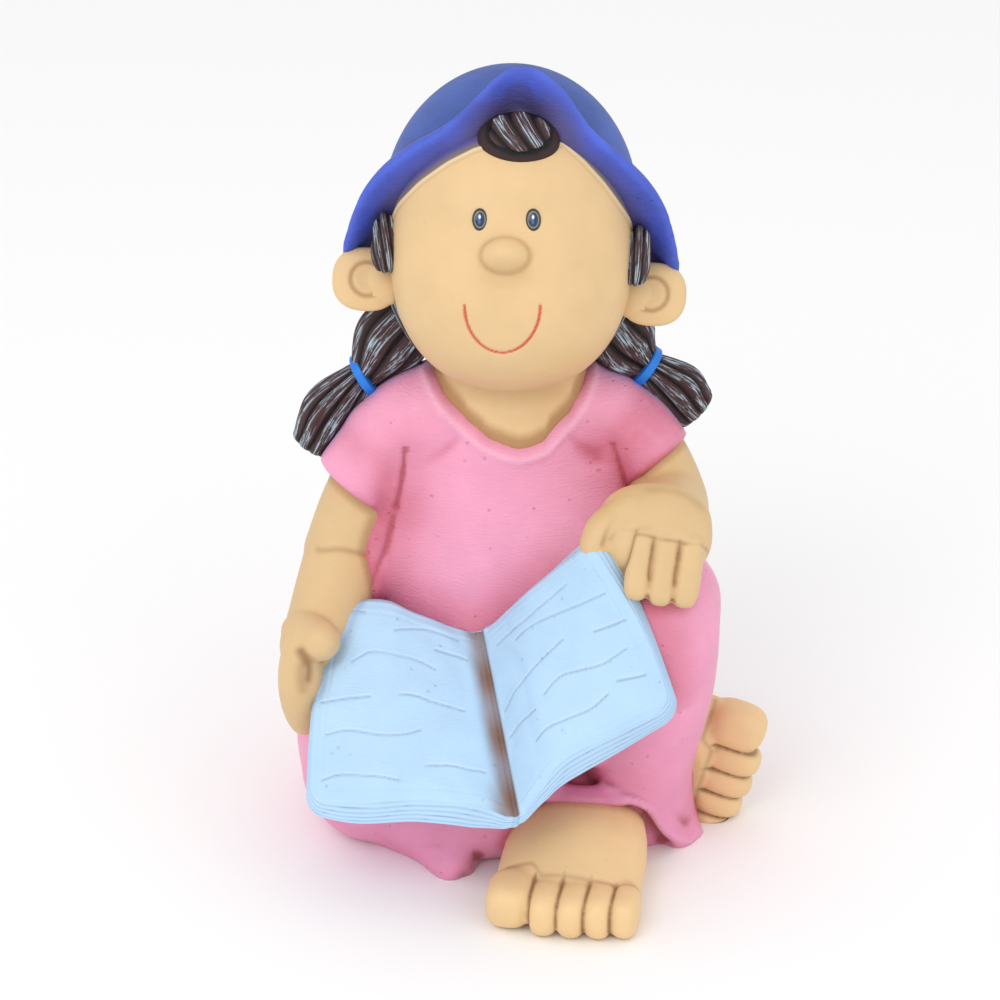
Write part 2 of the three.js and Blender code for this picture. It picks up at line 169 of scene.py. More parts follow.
def normals_of(mesh):
    """The mesh's normals, one for each vertex and a unit long."""
    flat = np.empty(len(mesh.vertices) * 3, np.float32)
    mesh.vertex_normals.foreach_get("vector", flat)
    return flat.reshape(-1, 3).astype(float)


def move_to(mesh, points):
    """Puts the mesh's vertices at points in millimetres."""
    mesh.vertices.foreach_set("co", (points / 1000).astype(np.float32).ravel())
    mesh.update()


def averaged(points, mesh, rounds):
    """Each point moved, rounds times, to the mean of the points that an edge joins it to."""
    flat = np.empty(len(mesh.edges) * 2, np.int32)
    mesh.edges.foreach_get("vertices", flat)
    one, other = flat.reshape(-1, 2).T
    here, there = np.concatenate([one, other]), np.concatenate([other, one])
    count = np.bincount(here, minlength=len(points))[:, None]
    for _ in range(rounds):
        sums = [np.bincount(here, points[there, k], len(points)) for k in range(3)]
        points = np.stack(sums, 1) / count
    return points


def hollow(mesh, rounds):
    """How deep each point lies in a crease, in millimetres: how far its place after averaging
    stands out along its normal."""
    points = points_of(mesh)
    return ((averaged(points, mesh, rounds) - points) * normals_of(mesh)).sum(1)


def distance(points, line):
    """The distance from each point to the nearest point of a line of points, by the squares of
    both lengths less twice their product, for ten thousand points at a time."""
    line = line.astype(np.float32)
    nearest = []
    for some in np.array_split(points.astype(np.float32), len(points) // 10000 + 1):
        square = (some**2).sum(1)[:, None] + (line**2).sum(1) - 2 * some @ line.T
        nearest.append(np.sqrt(np.maximum(square.min(1), 0)))
    return np.concatenate(nearest).astype(float)


def nearness(points, other, reach):
    """1 where a point touches another piece, falling to 0 at reach millimetres, from the distance
    to the other piece's points that lie about here, thinned to two thousand."""
    about = other[distance(other, points[::50]) < 2 * reach + 2]
    about = about[:: len(about) // 2000 + 1]
    if len(about) == 0:
        return np.zeros(len(points))
    return 1 - ease(1.5, reach, distance(points, about))


def through(stations, share):
    """Rows of values at shares 0 to 1 along stations: between two stations the cubic whose slope
    at each is half the step from the station before to the one after."""
    known = np.asarray(stations, float)
    known = np.vstack([2 * known[0] - known[1], known, 2 * known[-1] - known[-2]])
    place = np.clip(share, 0, 1) * (len(known) - 3)
    i = np.minimum(place.astype(int), len(known) - 4)
    s = (place - i)[:, None]
    p, q, r, t = known[i], known[i + 1], known[i + 2], known[i + 3]
    return 0.5 * (2 * q + (r - p) * s + (2 * p - 5 * q + 4 * r - t) * s**2 + (3 * q - p - 3 * r + t) * s**3)


def near_line(points, line, width, steps=60):
    """1 on a smooth line through stations, falling by a bell curve of that width beside it."""
    return np.exp(-((distance(points, through(line, np.linspace(0, 1, steps))) / width) ** 2))


def mixed(colour, other, share):
    """Between two colours, or lists of colours, by a share for each point."""
    return colour + (other - colour) * np.clip(share, 0, 1)[:, None]


def painted(mesh, colour):
    """Keeps a colour for each point as the mesh's paint."""
    rgba = np.ones((len(mesh.vertices), 4), np.float32)
    rgba[:, :3] = np.clip(colour, 0, 1)
    if "paint" not in mesh.attributes:
        mesh.attributes.new("paint", "FLOAT_COLOR", "POINT")
    mesh.attributes["paint"].data.foreach_set("color", rgba.ravel())


def paint_material(name, roughness, strokes, pits, mottle=0.06):
    """Brushed paint on cast resin: the paint attribute, a little lighter and darker in soft
    patches. The bump is fine streaks, stretched noise, and pinholes, where a cell pattern is
    nearest to its centres."""
    material = bpy.data.materials.new(name)
    material.use_nodes = True
    nodes, links = material.node_tree.nodes, material.node_tree.links
    shader = nodes["Principled BSDF"]
    shader.inputs["Roughness"].default_value = roughness
    place = nodes.new("ShaderNodeTexCoord")
    paint = nodes.new("ShaderNodeAttribute")
    paint.attribute_name = "paint"
    patches = nodes.new("ShaderNodeTexNoise")
    patches.inputs["Scale"].default_value = 45
    patches.inputs["Detail"].default_value = 5
    links.new(place.outputs["Object"], patches.inputs["Vector"])
    level = nodes.new("ShaderNodeMapRange")
    level.inputs["To Min"].default_value = 1 - 2 * mottle
    level.inputs["To Max"].default_value = 1 + 2 * mottle
    links.new(patches.outputs["Fac"], level.inputs["Value"])
    tint = nodes.new("ShaderNodeVectorMath")
    tint.operation = "SCALE"
    links.new(paint.outputs["Color"], tint.inputs[0])
    links.new(level.outputs["Result"], tint.inputs["Scale"])
    links.new(tint.outputs["Vector"], shader.inputs["Base Color"])
    slant = nodes.new("ShaderNodeMapping")
    slant.inputs["Scale"].default_value = (1, 1, 5)
    slant.inputs["Rotation"].default_value = (0, math.radians(25), 0)
    links.new(place.outputs["Object"], slant.inputs["Vector"])
    streaks = nodes.new("ShaderNodeTexNoise")
    streaks.inputs["Scale"].default_value = 260
    streaks.inputs["Detail"].default_value = 3
    links.new(slant.outputs["Vector"], streaks.inputs["Vector"])
    cells = nodes.new("ShaderNodeTexVoronoi")
    cells.inputs["Scale"].default_value = 110
    links.new(place.outputs["Object"], cells.inputs["Vector"])
    holes = nodes.new("ShaderNodeMapRange")
    holes.inputs["From Min"].default_value = 0.03
    holes.inputs["From Max"].default_value = 0.09
    links.new(cells.outputs["Distance"], holes.inputs["Value"])
    stroke_bump = nodes.new("ShaderNodeBump")
    stroke_bump.inputs["Strength"].default_value = 1
    stroke_bump.inputs["Distance"].default_value = strokes / 1000
    links.new(streaks.outputs["Fac"], stroke_bump.inputs["Height"])
    pit_bump = nodes.new("ShaderNodeBump")
    pit_bump.inputs["Strength"].default_value = 1
    pit_bump.inputs["Distance"].default_value = pits / 1000
    links.new(holes.outputs["Result"], pit_bump.inputs["Height"])
    links.new(stroke_bump.outputs["Normal"], pit_bump.inputs["Normal"])
    links.new(pit_bump.outputs["Normal"], shader.inputs["Normal"])
    return material


def piece(name, mesh, material):
    """An object of the figure, which stands for the one cast solid."""
    obj = bpy.data.objects.new(name, mesh)
    obj.data.materials.append(material)
    bpy.context.scene.collection.objects.link(obj)
    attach(obj, "root")
    return obj


def face_depth(x, z):
    """How far the head's egg lies in front of its centre, x to the side and z above it."""
    width, depth, height = HEAD_RADII
    rest = 1 - np.abs(x / width) ** HEAD_POWER - np.abs(z / height) ** HEAD_POWER
    return depth * np.maximum(rest, 0) ** (1 / HEAD_POWER)


def round_more(one, other, width):
    """The larger of two heights, with a fillet of that width where they meet: the mix of both by
    share s, plus width times s(1 - s)."""
    share = np.clip(0.5 + 0.5 * (one - other) / width, 0, 1)
    return other + (one - other) * share + width * share * (1 - share)


HAT_LINE = np.array([
    # across and up on the face, from the left temple over the forehead to the right temple
    [-60, 2],
    [-56.5, 12],
    [-52.4, 18.7],
    [-41.9, 27.6],
    [-29, 35.9],
    [-17, 41.8],
    [-5, 45.5],
    [3, 46.5],
    [11, 46.2],
    [23.6, 45],
    [32.7, 37.2],
    [41.9, 27.6],
    [49.9, 18],
    [56, 11],
    [60, 0],
])
CREAM = np.array([0.78, 0.66, 0.42])
# Past the hat's line the face takes the brim's underside in painted shade: brown, then dark blue.
BRIM_SHADE_BROWN = np.array([0.2, 0.15, 0.13])
BRIM_SHADE_BLUE = np.array([0.075, 0.075, 0.27])


def beyond_hat_line(x, z):
    """How far a place on the face lies past the line where the hat starts, in millimetres: the
    line's height at x taken off z, times the cosine of the line's slope."""
    line = np.interp(x, *HAT_LINE.T)
    slope = (np.interp(x + 3, *HAT_LINE.T) - np.interp(x - 3, *HAT_LINE.T)) / 6
    return (z - line) / np.hypot(1, slope)


skin_paint = paint_material("skin_paint", 0.5, 0.12, 0.15, 0.05)
turn_share = np.linspace(-1, 1, 290, endpoint=False)
front_angles = 180 * (0.36 * turn_share + 0.64 * turn_share**3)
face = egg((0, 0, 0), HEAD_RADII, power=HEAD_POWER, rows=250, columns=290, across=front_angles)
face, face_faces = closed(face)
x, y, z = face.T
nose_round = ((x - NOSE_CENTRE[0]) / NOSE_RADII[0]) ** 2 + ((z - NOSE_CENTRE[1]) / NOSE_RADII[1]) ** 2
nose_lift = NOSE_DEPTH * np.maximum(1 - nose_round, 0) ** 0.55 - 3 * np.maximum(nose_round - 1, 0)
nose_front = round_more(-y, face_depth(*NOSE_CENTRE) - 1.2 + nose_lift, 1.4)
y = np.where((y < 0) & (nose_round < 3), -nose_front, y)
half_turn = np.radians(np.linspace(180, 360, 120))
mouth_line = np.stack([
    MOUTH_CENTRE[0] + MOUTH_RADII[0] * np.cos(half_turn),
    MOUTH_CENTRE[1] + MOUTH_RADII[1] * np.sin(half_turn),
], 1)
mouth_line = np.insert(mouth_line, 1, -face_depth(*mouth_line.T), axis=1)
from_mouth = distance(np.stack([x, y, z], 1), mouth_line)
y = y + MOUTH_GROOVE * np.exp(-((from_mouth / 0.75) ** 2))
lift = 0.5 * np.exp(-((beyond_hat_line(x, z) / 0.7) ** 2)) * (y < 10)
face_local = np.stack([x, y, z], 1) * (1 + lift / np.sqrt(x**2 + y**2 + z**2))[:, None]
head_mesh = mesh_of("head", [(on_head(face_local), face_faces)])
# Painted shade: a brown ring in the crease round the nose and a soft patch under it.
from_nose = np.abs(np.sqrt(nose_round) - 1.02) * 9
head_colour = mixed(SKIN, SKIN_SHADE, 0.35 * (1 - ease(0, 1.9, from_nose)) * (y < 0))
below_nose = ((x - NOSE_CENTRE[0]) / 12) ** 2 + ((z - NOSE_CENTRE[1] + 8) / 7) ** 2
head_colour = mixed(head_colour, SKIN_SHADE, 0.12 * (1 - ease(0.2, 1.6, below_nose)) * (y < 0))
mouth_share = (1 - ease(0.55, 0.95, from_mouth)) * (0.86 + 0.14 * np.sin(x * 3 + z * 5))
head_colour = mixed(head_colour, MOUTH_RED, mouth_share)
# Along the hat's line: painted shade on the face just inside it, a cream line on the raised lip, and past it
# the brim's underside in painted shade.
from_line = beyond_hat_line(x, z)
ridge = np.exp(-((from_line / 0.7) ** 2)) * (y < 10)
head_colour = mixed(head_colour, SKIN_SHADE, 0.35 * np.exp(-(((from_line + 1.1) / 0.7) ** 2)))
head_colour = mixed(head_colour, CREAM, 0.75 * ridge)
head_colour = mixed(head_colour, BRIM_SHADE_BROWN, ease(0.4, 1.3, from_line))
head_colour = mixed(head_colour, BRIM_SHADE_BLUE, ease(1.3, 5, from_line))
painted(head_mesh, head_colour)
head = piece("head", head_mesh, skin_paint)
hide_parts("girl_figurine")

# The eyes: two small raised ovals, painted with a dark rim, a grey ring, a dark blue middle and
# a white spot as a painted highlight, under a drop of gloss lacquer.
EYE_PLACES = ((-14.4, 9.1), (9.7, 8.9))
EYE_RADII = (3.5, 1.7, 5.2)
EYE_RIM = np.array([0.03, 0.035, 0.03])
EYE_RING = np.array([0.24, 0.23, 0.19])
EYE_MIDDLE = np.array([0.012, 0.03, 0.09])
EYE_BLUE = np.array([0.06, 0.15, 0.3])
EYE_HIGHLIGHT = np.array([0.95, 0.97, 1.0])
eye_gloss = paint_material("eye_gloss", 0.12, 0.0, 0.0, 0.0)
for side, (x, z) in zip(("left", "right"), EYE_PLACES):
    place = np.array([x, -face_depth(x, z) + 0.2, z])
    rings = egg((0, 0, 0), (1, 1, 1), turn=(90, 0, 0), rows=50, columns=48) * EYE_RADII
    points, faces = closed(rings)
    across, up = points[:, 0] / EYE_RADII[0], points[:, 2] / EYE_RADII[2]
    out = np.hypot(across, up)
    mesh = mesh_of("eye_" + side, [(on_head(points + place), faces)])
    colour = mixed(EYE_RING, EYE_RIM, ease(0.72, 0.8, out))
    colour = mixed(colour, EYE_MIDDLE, 1 - ease(0.58, 0.68, out))
    colour = mixed(colour, EYE_BLUE, 1 - ease(0.1, 0.26, np.hypot(across + 0.05, (up + 0.2) * 0.8)))
    # The white spot is a painted highlight.
    colour = mixed(colour, EYE_HIGHLIGHT, 1 - ease(0.08, 0.2, np.hypot(across + 0.02, (up - 0.22) * 0.8)))
    painted(mesh, colour)
    piece("eye_" + side, mesh, eye_gloss)

# The ears: thick round discs that face forward, each with a C-shaped groove that is open towards
# the face and brown with painted shade. They lean with the hat.
EAR_DEPTH = 9
EAR_GROOVE = 1.0
EAR_GROOVE_ROUND = 8.0
EAR_SIZE = (16, EAR_DEPTH / 2, 15)
for side, name in ((-1, "left"), (1, "right")):
    centre = np.array([side * 67.5, 2, -17])
    disc = egg((0, 0, 0), (1, 1, 1), turn=(90, 0, 0), power=2.4, rows=64, columns=64)
    disc, disc_faces = closed(disc * EAR_SIZE)
    sweep = np.radians(np.linspace(-115, 115, 60) + (180 if side < 0 else 0))
    groove = np.stack([
        -side * 1.0 + EAR_GROOVE_ROUND * np.cos(sweep),
        0 * sweep - EAR_DEPTH / 2,
        EAR_GROOVE_ROUND * np.sin(sweep),
    ], 1)
    from_groove = distance(disc * (1, 0.3, 1), groove * (1, 0.3, 1))
    in_front = disc[:, 1] < 0
    disc[:, 1] += in_front * EAR_GROOVE * np.exp(-((from_groove / 0.9) ** 2))
    inside = np.hypot(disc[:, 0] + side, disc[:, 2]) / EAR_GROOVE_ROUND
    disc[:, 1] += in_front * 0.9 * (1 - ease(0.2, 1.0, inside))
    root = closed(egg(centre - (side * 9, 0, 0), (11, EAR_DEPTH * 0.62, 12), rows=20, columns=30))
    shells = [(on_head(disc + centre, hat_turn), disc_faces), (on_head(root[0], hat_turn), root[1])]
    mesh = mesh_of("ear_" + name, shells)
    # Painted shade in brown along the groove.
    shade = np.zeros(len(mesh.vertices))
    shade[:len(disc)] = in_front * 0.75 * np.exp(-((from_groove / 1.1) ** 2))
    painted(mesh, mixed(SKIN, SKIN_SHADE, shade))
    piece("ear_" + name, mesh, skin_paint)

# The hat: a soft crown and a brim that stands up to a point in front and droops over the ears,
# painted blue and duller on the crown, with a painted highlight along the brim's edge, and
# sprayed dark as painted shade where it meets the hair and the face and in its hollows.
CROWN_CENTRE = np.array([-1.5, 15, 21])
CROWN_RADII = (61, 57, 69)
BRIM_EDGE = 5.5
RIGHT_RISE = 6
RISE_AZIMUTH = 28
RISE_SPREAD = 15
TUFT_SHADE_CENTRE = (2.4, 48)
BRIM_STATIONS = np.array([
    # azimuth from the front; radius and height of the band, of the edge, of the line on the crown
    [0, 27, 57, 40, 81, 29, 70],
    [9, 31, 54, 42.5, 80, 31, 69],
    [22, 43, 46, 47.5, 69, 38, 64],
    [40, 50, 37, 55, 49.5, 46, 55],
    [57, 54, 27, 65, 37, 51, 48],
    [74, 57, 17, 75, 20, 55, 43],
    [90, 59, 8, 80.5, -4, 57, 40],
    [135, 68, -6, 84, -24, 64, 33],
    [180, 73, -12, 85, -30, 68, 30],
])
HAT_BLUE = np.array([0.05, 0.085, 0.5])
HAT_HIGHLIGHT = np.array([0.07, 0.14, 0.7])
HAT_DULL = np.array([0.05, 0.105, 0.36])
HAT_SHADE = np.array([0.06, 0.045, 0.13])


def smooth_between(stations, where):
    """Columns of stations at values of their first column: on each span the cubic that has the
    stations' values and, at each, the slope from the station before to the one after."""
    known, values = stations[:, 0], stations[:, 1:]
    slope = np.empty_like(values)
    slope[1:-1] = (values[2:] - values[:-2]) / (known[2:] - known[:-2])[:, None]
    slope[0] = slope[-1] = 0
    i = np.clip(np.searchsorted(known, where, side="right") - 1, 0, len(known) - 2)
    span = (known[i + 1] - known[i])[:, None]
    s = ((where - known[i]) / span[:, 0])[:, None]
    low, high = values[i] * (1 + 2 * s) * (1 - s) ** 2, values[i + 1] * s * s * (3 - 2 * s)
    return low + slope[i] * span * s * (1 - s) ** 2 + high + slope[i + 1] * span * s * s * (s - 1)


def cast(name, shells, cube, rounds):
    """One skin round shells that overlap: a grid of cubes follows their outside, and averaging
    leaves soft fillets in the corners, as a mould does."""
    raw = bpy.data.objects.new(name, mesh_of(name, shells))
    bpy.context.scene.collection.objects.link(raw)
    grid = raw.modifiers.new("Cubes", "REMESH")
    grid.mode = "VOXEL"
    grid.voxel_size = cube / 1000
    view = bpy.context.evaluated_depsgraph_get()
    skin = bpy.data.meshes.new_from_object(raw.evaluated_get(view))
    bpy.data.objects.remove(raw)
    skin.name = name
    move_to(skin, averaged(points_of(skin), skin, rounds))
    skin.shade_smooth()
    return skin


azimuth = np.linspace(0, 360, 240, endpoint=False)
band_r, band_z, edge_r, edge_z, top_r, top_z = smooth_between(BRIM_STATIONS, 180 - np.abs(azimuth - 180)).T
rise_share = np.exp(-(((azimuth - RISE_AZIMUTH) / RISE_SPREAD) ** 2))
edge_z = edge_z + RIGHT_RISE * rise_share
top_z = top_z + 0.5 * RIGHT_RISE * rise_share
out_r, out_z = edge_r - top_r, edge_z - top_z
long = np.hypot(out_r, out_z)
out_r, out_z = out_r / long, out_z / long
thick_r, thick_z = -out_z * BRIM_EDGE, out_r * BRIM_EDGE
INWARD = 9
section = [
    (top_r - INWARD, top_z - INWARD * 0.3),
    (top_r, top_z),
    (top_r + out_r * long * 0.6 + thick_r * 0.27, top_z + out_z * long * 0.6 + thick_z * 0.27),
    (edge_r, edge_z),
    (edge_r - thick_r * 0.5 + out_r, edge_z - thick_z * 0.5 + out_z),
    (edge_r - thick_r - out_r * 2, edge_z - thick_z - out_z * 2),
    (band_r + (edge_r - band_r) * 0.45, band_z + (edge_z - band_z) * 0.38),
    (band_r, band_z),
    (band_r - INWARD, band_z),
]
radius, height = np.moveaxis(np.array(section), 0, -1)
turn = np.radians(azimuth)[:, None]
brim = np.stack([radius * np.sin(turn), -radius * np.cos(turn), height], -1)
crown = egg(CROWN_CENTRE, CROWN_RADII, rows=60, columns=96)
hat_shells = []
for rings, looped in ((crown, False), (brim, True)):
    points, faces = closed(rings, looped)
    hat_shells.append((on_head(points, hat_turn), faces))
hat_mesh = cast("hat", hat_shells, cube=1.5, rounds=9)
hat_points = points_of(hat_mesh)
in_hat = (hat_points - HEAD_CENTRE) @ hat_turn
edge_line = np.stack([edge_r * np.sin(turn[:, 0]), -edge_r * np.cos(turn[:, 0]), edge_z], 1)
band_line = np.stack([band_r * np.sin(turn[:, 0]), -band_r * np.cos(turn[:, 0]), band_z], 1)
crown_round = np.sqrt((((in_hat - CROWN_CENTRE) / CROWN_RADII) ** 2).sum(1))
outward = (normals_of(hat_mesh) @ hat_turn * (in_hat - CROWN_CENTRE) / CROWN_RADII).sum(1)
on_crown = (1 - ease(1.03, 1.12, crown_round)) * ease(0.3, 0.7, outward)
hat_colour = mixed(HAT_BLUE, HAT_DULL, 0.9 * on_crown)
# A painted highlight along the brim's edge; painted shade by the band, round the tuft and in hollows.
hat_colour = mixed(hat_colour, HAT_HIGHLIGHT, 0.75 * (1 - ease(0.5, 5.5, distance(in_hat, edge_line))))
hat_colour = mixed(hat_colour, HAT_SHADE, 0.75 * (1 - ease(0, 13, distance(in_hat, band_line))))
from_tuft = np.hypot((in_hat[:, 0] - TUFT_SHADE_CENTRE[0]) / 21, (in_hat[:, 2] - TUFT_SHADE_CENTRE[1]) / 16)
near_tuft = (1 - ease(0.9, 1.6, from_tuft)) * (in_hat[:, 1] < 0)
hat_colour = mixed(hat_colour, HAT_SHADE, 0.85 * near_tuft)
hat_colour = mixed(hat_colour, HAT_SHADE, 0.5 * ease(0.1, 0.8, hollow(hat_mesh, 40)))
painted(hat_mesh, hat_colour)
hat_paint = paint_material("hat_paint", 0.6, 0.35, 0.4, 0.25)
piece("hat", hat_mesh, hat_paint)

# The hair: a cap behind the ears, a tuft under the brim's point, a sideburn in front of each ear
# and a pigtail on each side. Its locks are cast as deep grooves, painted black with brown flanks,
# the black in the grooves partly painted shade, and their ridges are dry-brushed pale blue.
HAIR_BROWN = np.array([0.065, 0.028, 0.028])
HAIR_BLACK = np.array([0.003, 0.003, 0.004])
HAIR_BLUE = (0.42, 0.56, 0.66, 1)
DOME_ROWS = 11


def bar(stations, facing=(0, 0, 1), rows=50, columns=56, dome=1.0, ripple=None):
    """Rings of a rounded bar: ellipses across the curve through stations [x, y, z, half width,
    half depth], the depth measured along facing, with ends that close like half an egg of dome
    times the radius. ripple(angle, share) scales each point from the middle line."""
    full = [list(s) + [s[3]] * (5 - len(s)) for s in stations]
    bend = np.linspace(0, np.pi / 2, DOME_ROWS + 2)[1:-1]
    share = np.linspace(0, 1, rows)
    spine = through(full, share)
    centre, radii = spine[:, :3], spine[:, 3:]
    along = np.gradient(centre, axis=0)
    along /= np.linalg.norm(along, axis=1)[:, None]
    reach = np.minimum(*radii[[0, -1]].T) * dome
    start = centre[0] - along[0] * (np.cos(bend) * reach[0])[:, None]
    end = centre[-1] + along[-1] * (np.cos(bend[::-1]) * reach[1])[:, None]
    centre = np.vstack([start, centre, end])
    radii = np.vstack([radii[0] * np.sin(bend)[:, None], radii, radii[-1] * np.sin(bend[::-1])[:, None]])
    along = np.vstack([np.repeat(along[:1], len(bend), 0), along, np.repeat(along[-1:], len(bend), 0)])
    share = np.concatenate([0 * bend, share, 0 * bend + 1])
    side = np.cross(along, facing)
    side /= np.linalg.norm(side, axis=1)[:, None]
    top = np.cross(side, along)
    round_it = np.linspace(-np.pi, np.pi, columns, endpoint=False)[None]
    swell = np.ones((len(share), columns)) if ripple is None else ripple(round_it, share[:, None])
    across = (np.sin(round_it) * radii[:, :1] * swell)[..., None] * side[:, None]
    up = (np.cos(round_it) * radii[:, 1:] * swell)[..., None] * top[:, None]
    return centre[:, None] + across + up


def lock_height(round_it, along, locks, seed):
    """Height of the locks, 0 in a groove and 1 on a ridge: the root of the size of a sine of the
    angle round the bunch, which wanders along it, less a second, finer row of grooves."""
    wander = 0.5 * np.sin(along * 3.1 + seed) + 0.35 * np.sin(round_it * 2 + seed * 2)
    main = np.abs(np.sin(round_it * locks / 2 + wander)) ** 0.45
    fine = np.abs(np.sin(round_it * locks * 1.5 + 1.7 * wander + 2 * np.sin(along * 2 + seed))) ** 0.5
    return main * (0.72 + 0.28 * fine)


def hair_piece(name, rings, height, across, along):
    """A hair mesh from rings. Besides its paint it keeps, for each point, how far across and along
    the locks it lies, in millimetres, and the height of its lock."""
    points, faces = closed(rings)
    mesh = mesh_of(name, [(points, faces)])
    lie = np.stack([np.broadcast_to(part, rings.shape[:2]) for part in (across, along, height)], -1)
    lie = np.vstack([lie.reshape(-1, 3), lie[[0, -1], 0]])
    # Black in the grooves, partly the hair's own colour and partly painted shade; brown on the ridges.
    painted(mesh, mixed(HAIR_BLACK, HAIR_BROWN, ease(0.3, 0.75, lie[:, 2])))
    mesh.attributes.new("lie", "FLOAT_VECTOR", "POINT")
    mesh.attributes["lie"].data.foreach_set("vector", lie.astype(np.float32).ravel())
    return piece(name, mesh, hair_paint)


def locks_on(locks, seed, depth):
    """The ripple that cuts grooves of that depth, as a share of the radius."""
    return lambda round_it, along: 1 - depth * (1 - lock_height(round_it, along, locks, seed))


# Dry brushing: noise drawn out along the locks, kept where their height is near 1.
hair_paint = paint_material("hair_paint", 0.5, 0.0, 0.0, 0.1)
nodes, links = hair_paint.node_tree.nodes, hair_paint.node_tree.links
hair_shader = nodes["Principled BSDF"]
hair_shader.inputs["Specular IOR Level"].default_value = 0.3
lie = nodes.new("ShaderNodeAttribute")
lie.attribute_name = "lie"
drawn_out = nodes.new("ShaderNodeMapping")
drawn_out.inputs["Scale"].default_value = (1.1, 0.06, 0)
links.new(lie.outputs["Vector"], drawn_out.inputs["Vector"])
bristles = nodes.new("ShaderNodeTexNoise")
bristles.inputs["Scale"].default_value = 1
bristles.inputs["Detail"].default_value = 4
bristles.inputs["Roughness"].default_value = 0.65
links.new(drawn_out.outputs["Vector"], bristles.inputs["Vector"])
marks = nodes.new("ShaderNodeMapRange")
marks.interpolation_type = "SMOOTHSTEP"
marks.inputs["From Min"].default_value = 0.5
marks.inputs["From Max"].default_value = 0.6
links.new(bristles.outputs["Fac"], marks.inputs["Value"])
parts = nodes.new("ShaderNodeSeparateXYZ")
links.new(lie.outputs["Vector"], parts.inputs["Vector"])
ridge = nodes.new("ShaderNodeMapRange")
ridge.interpolation_type = "SMOOTHSTEP"
ridge.inputs["From Min"].default_value = 0.62
ridge.inputs["From Max"].default_value = 0.92
links.new(parts.outputs["Z"], ridge.inputs["Value"])
dry = nodes.new("ShaderNodeMath")
dry.operation = "MULTIPLY"
links.new(marks.outputs["Result"], dry.inputs[0])
links.new(ridge.outputs["Result"], dry.inputs[1])
brushed = nodes.new("ShaderNodeMix")
brushed.data_type = "RGBA"
links.new(hair_shader.inputs["Base Color"].links[0].from_socket, brushed.inputs["A"])
links.new(dry.outputs["Value"], brushed.inputs["Factor"])
brushed.inputs["B"].default_value = HAIR_BLUE
links.new(brushed.outputs["Result"], hair_shader.inputs["Base Color"])
strand_bump = nodes.new("ShaderNodeBump")
strand_bump.inputs["Strength"].default_value = 1
strand_bump.inputs["Distance"].default_value = 0.0005
links.new(bristles.outputs["Fac"], strand_bump.inputs["Height"])
links.new(strand_bump.outputs["Normal"], hair_shader.inputs["Normal"])

CAP_ROWS, CAP_COLUMNS, CAP_LOCKS = 50, 160, 26
angle = np.radians(np.linspace(-180, 180, CAP_COLUMNS, endpoint=False))[None]
height_angle = np.radians(np.linspace(-90, 90, CAP_ROWS + 2)[1:-1, None])
cap_ripple = locks_on(CAP_LOCKS, 1, 0.05)
cap = egg((0, 14, -6), (60, 56, 60), rows=CAP_ROWS, columns=CAP_COLUMNS, ripple=cap_ripple)
cap_locks = lock_height(angle, height_angle, CAP_LOCKS, 1)
hair_piece("hair_cap", on_head(cap, hat_turn), cap_locks, angle * 58, height_angle * 58)

# The tuft's locks sweep from the upper left to the lower right inside a smooth rim. The two
# sideburns hang from the hat in front of the ears and narrow towards their lower ends.
TUFT_RADII = (20.5, 9.5, 16)
TUFT_PLACE = (0.8, -41.5, 47)
SIDEBURN_RADII = (7.5, 9, 19)
tuft = egg((0, 0, 0), (1, 1, 1), rows=80, columns=160)
sweep = tuft[..., 0] + 0.45 * tuft[..., 2] - 0.25 * tuft[..., 2] ** 2
tuft_locks = np.abs(np.sin(sweep * 5.4 + 0.5)) ** 0.5 * (0.8 + 0.2 * np.abs(np.sin(sweep * 17)))
tuft_rim = ease(0.78, 0.9, np.hypot(tuft[..., 0], tuft[..., 2]))
tuft_locks = tuft_locks * (1 - tuft_rim) + 0.55 * tuft_rim
groove_round = np.exp(-(((np.hypot(tuft[..., 0], tuft[..., 2]) - 0.8) / 0.06) ** 2))
tuft_locks = tuft_locks * (1 - 0.7 * groove_round)
tuft_place = tuft[..., 2] * 13.5 - tuft[..., 0] * 6
tuft_across = sweep * 18
tuft = tuft * (1 - 0.18 * (1 - tuft_locks))[..., None] * TUFT_RADII
tuft = tuft @ turning(x=-30).T + TUFT_PLACE
hair_piece("hair_tuft", on_head(tuft, hat_turn), tuft_locks, tuft_across, tuft_place)
for side, name in ((-1, "left"), (1, "right")):
    burn = egg((0, 0, 0), (1, 1, 1), rows=50, columns=72)
    line = burn[..., 0] * 1.2 + 0.3 * burn[..., 2]
    burn_locks = np.abs(np.sin(line * 4.2 + 0.9)) ** 0.5
    burn_across, burn_along = line * 8, burn[..., 2] * 18
    taper = 1 - 0.5 * np.maximum(-burn[..., 2], 0) ** 1.5
    burn = burn * (taper * (1 - 0.16 * (1 - burn_locks)))[..., None] * SIDEBURN_RADII
    burn = burn @ turning(y=side * 6).T + (side * 58, -13.5, -5)
    hair_piece("sideburn_" + name, on_head(burn, hat_turn), burn_locks, burn_across, burn_along)

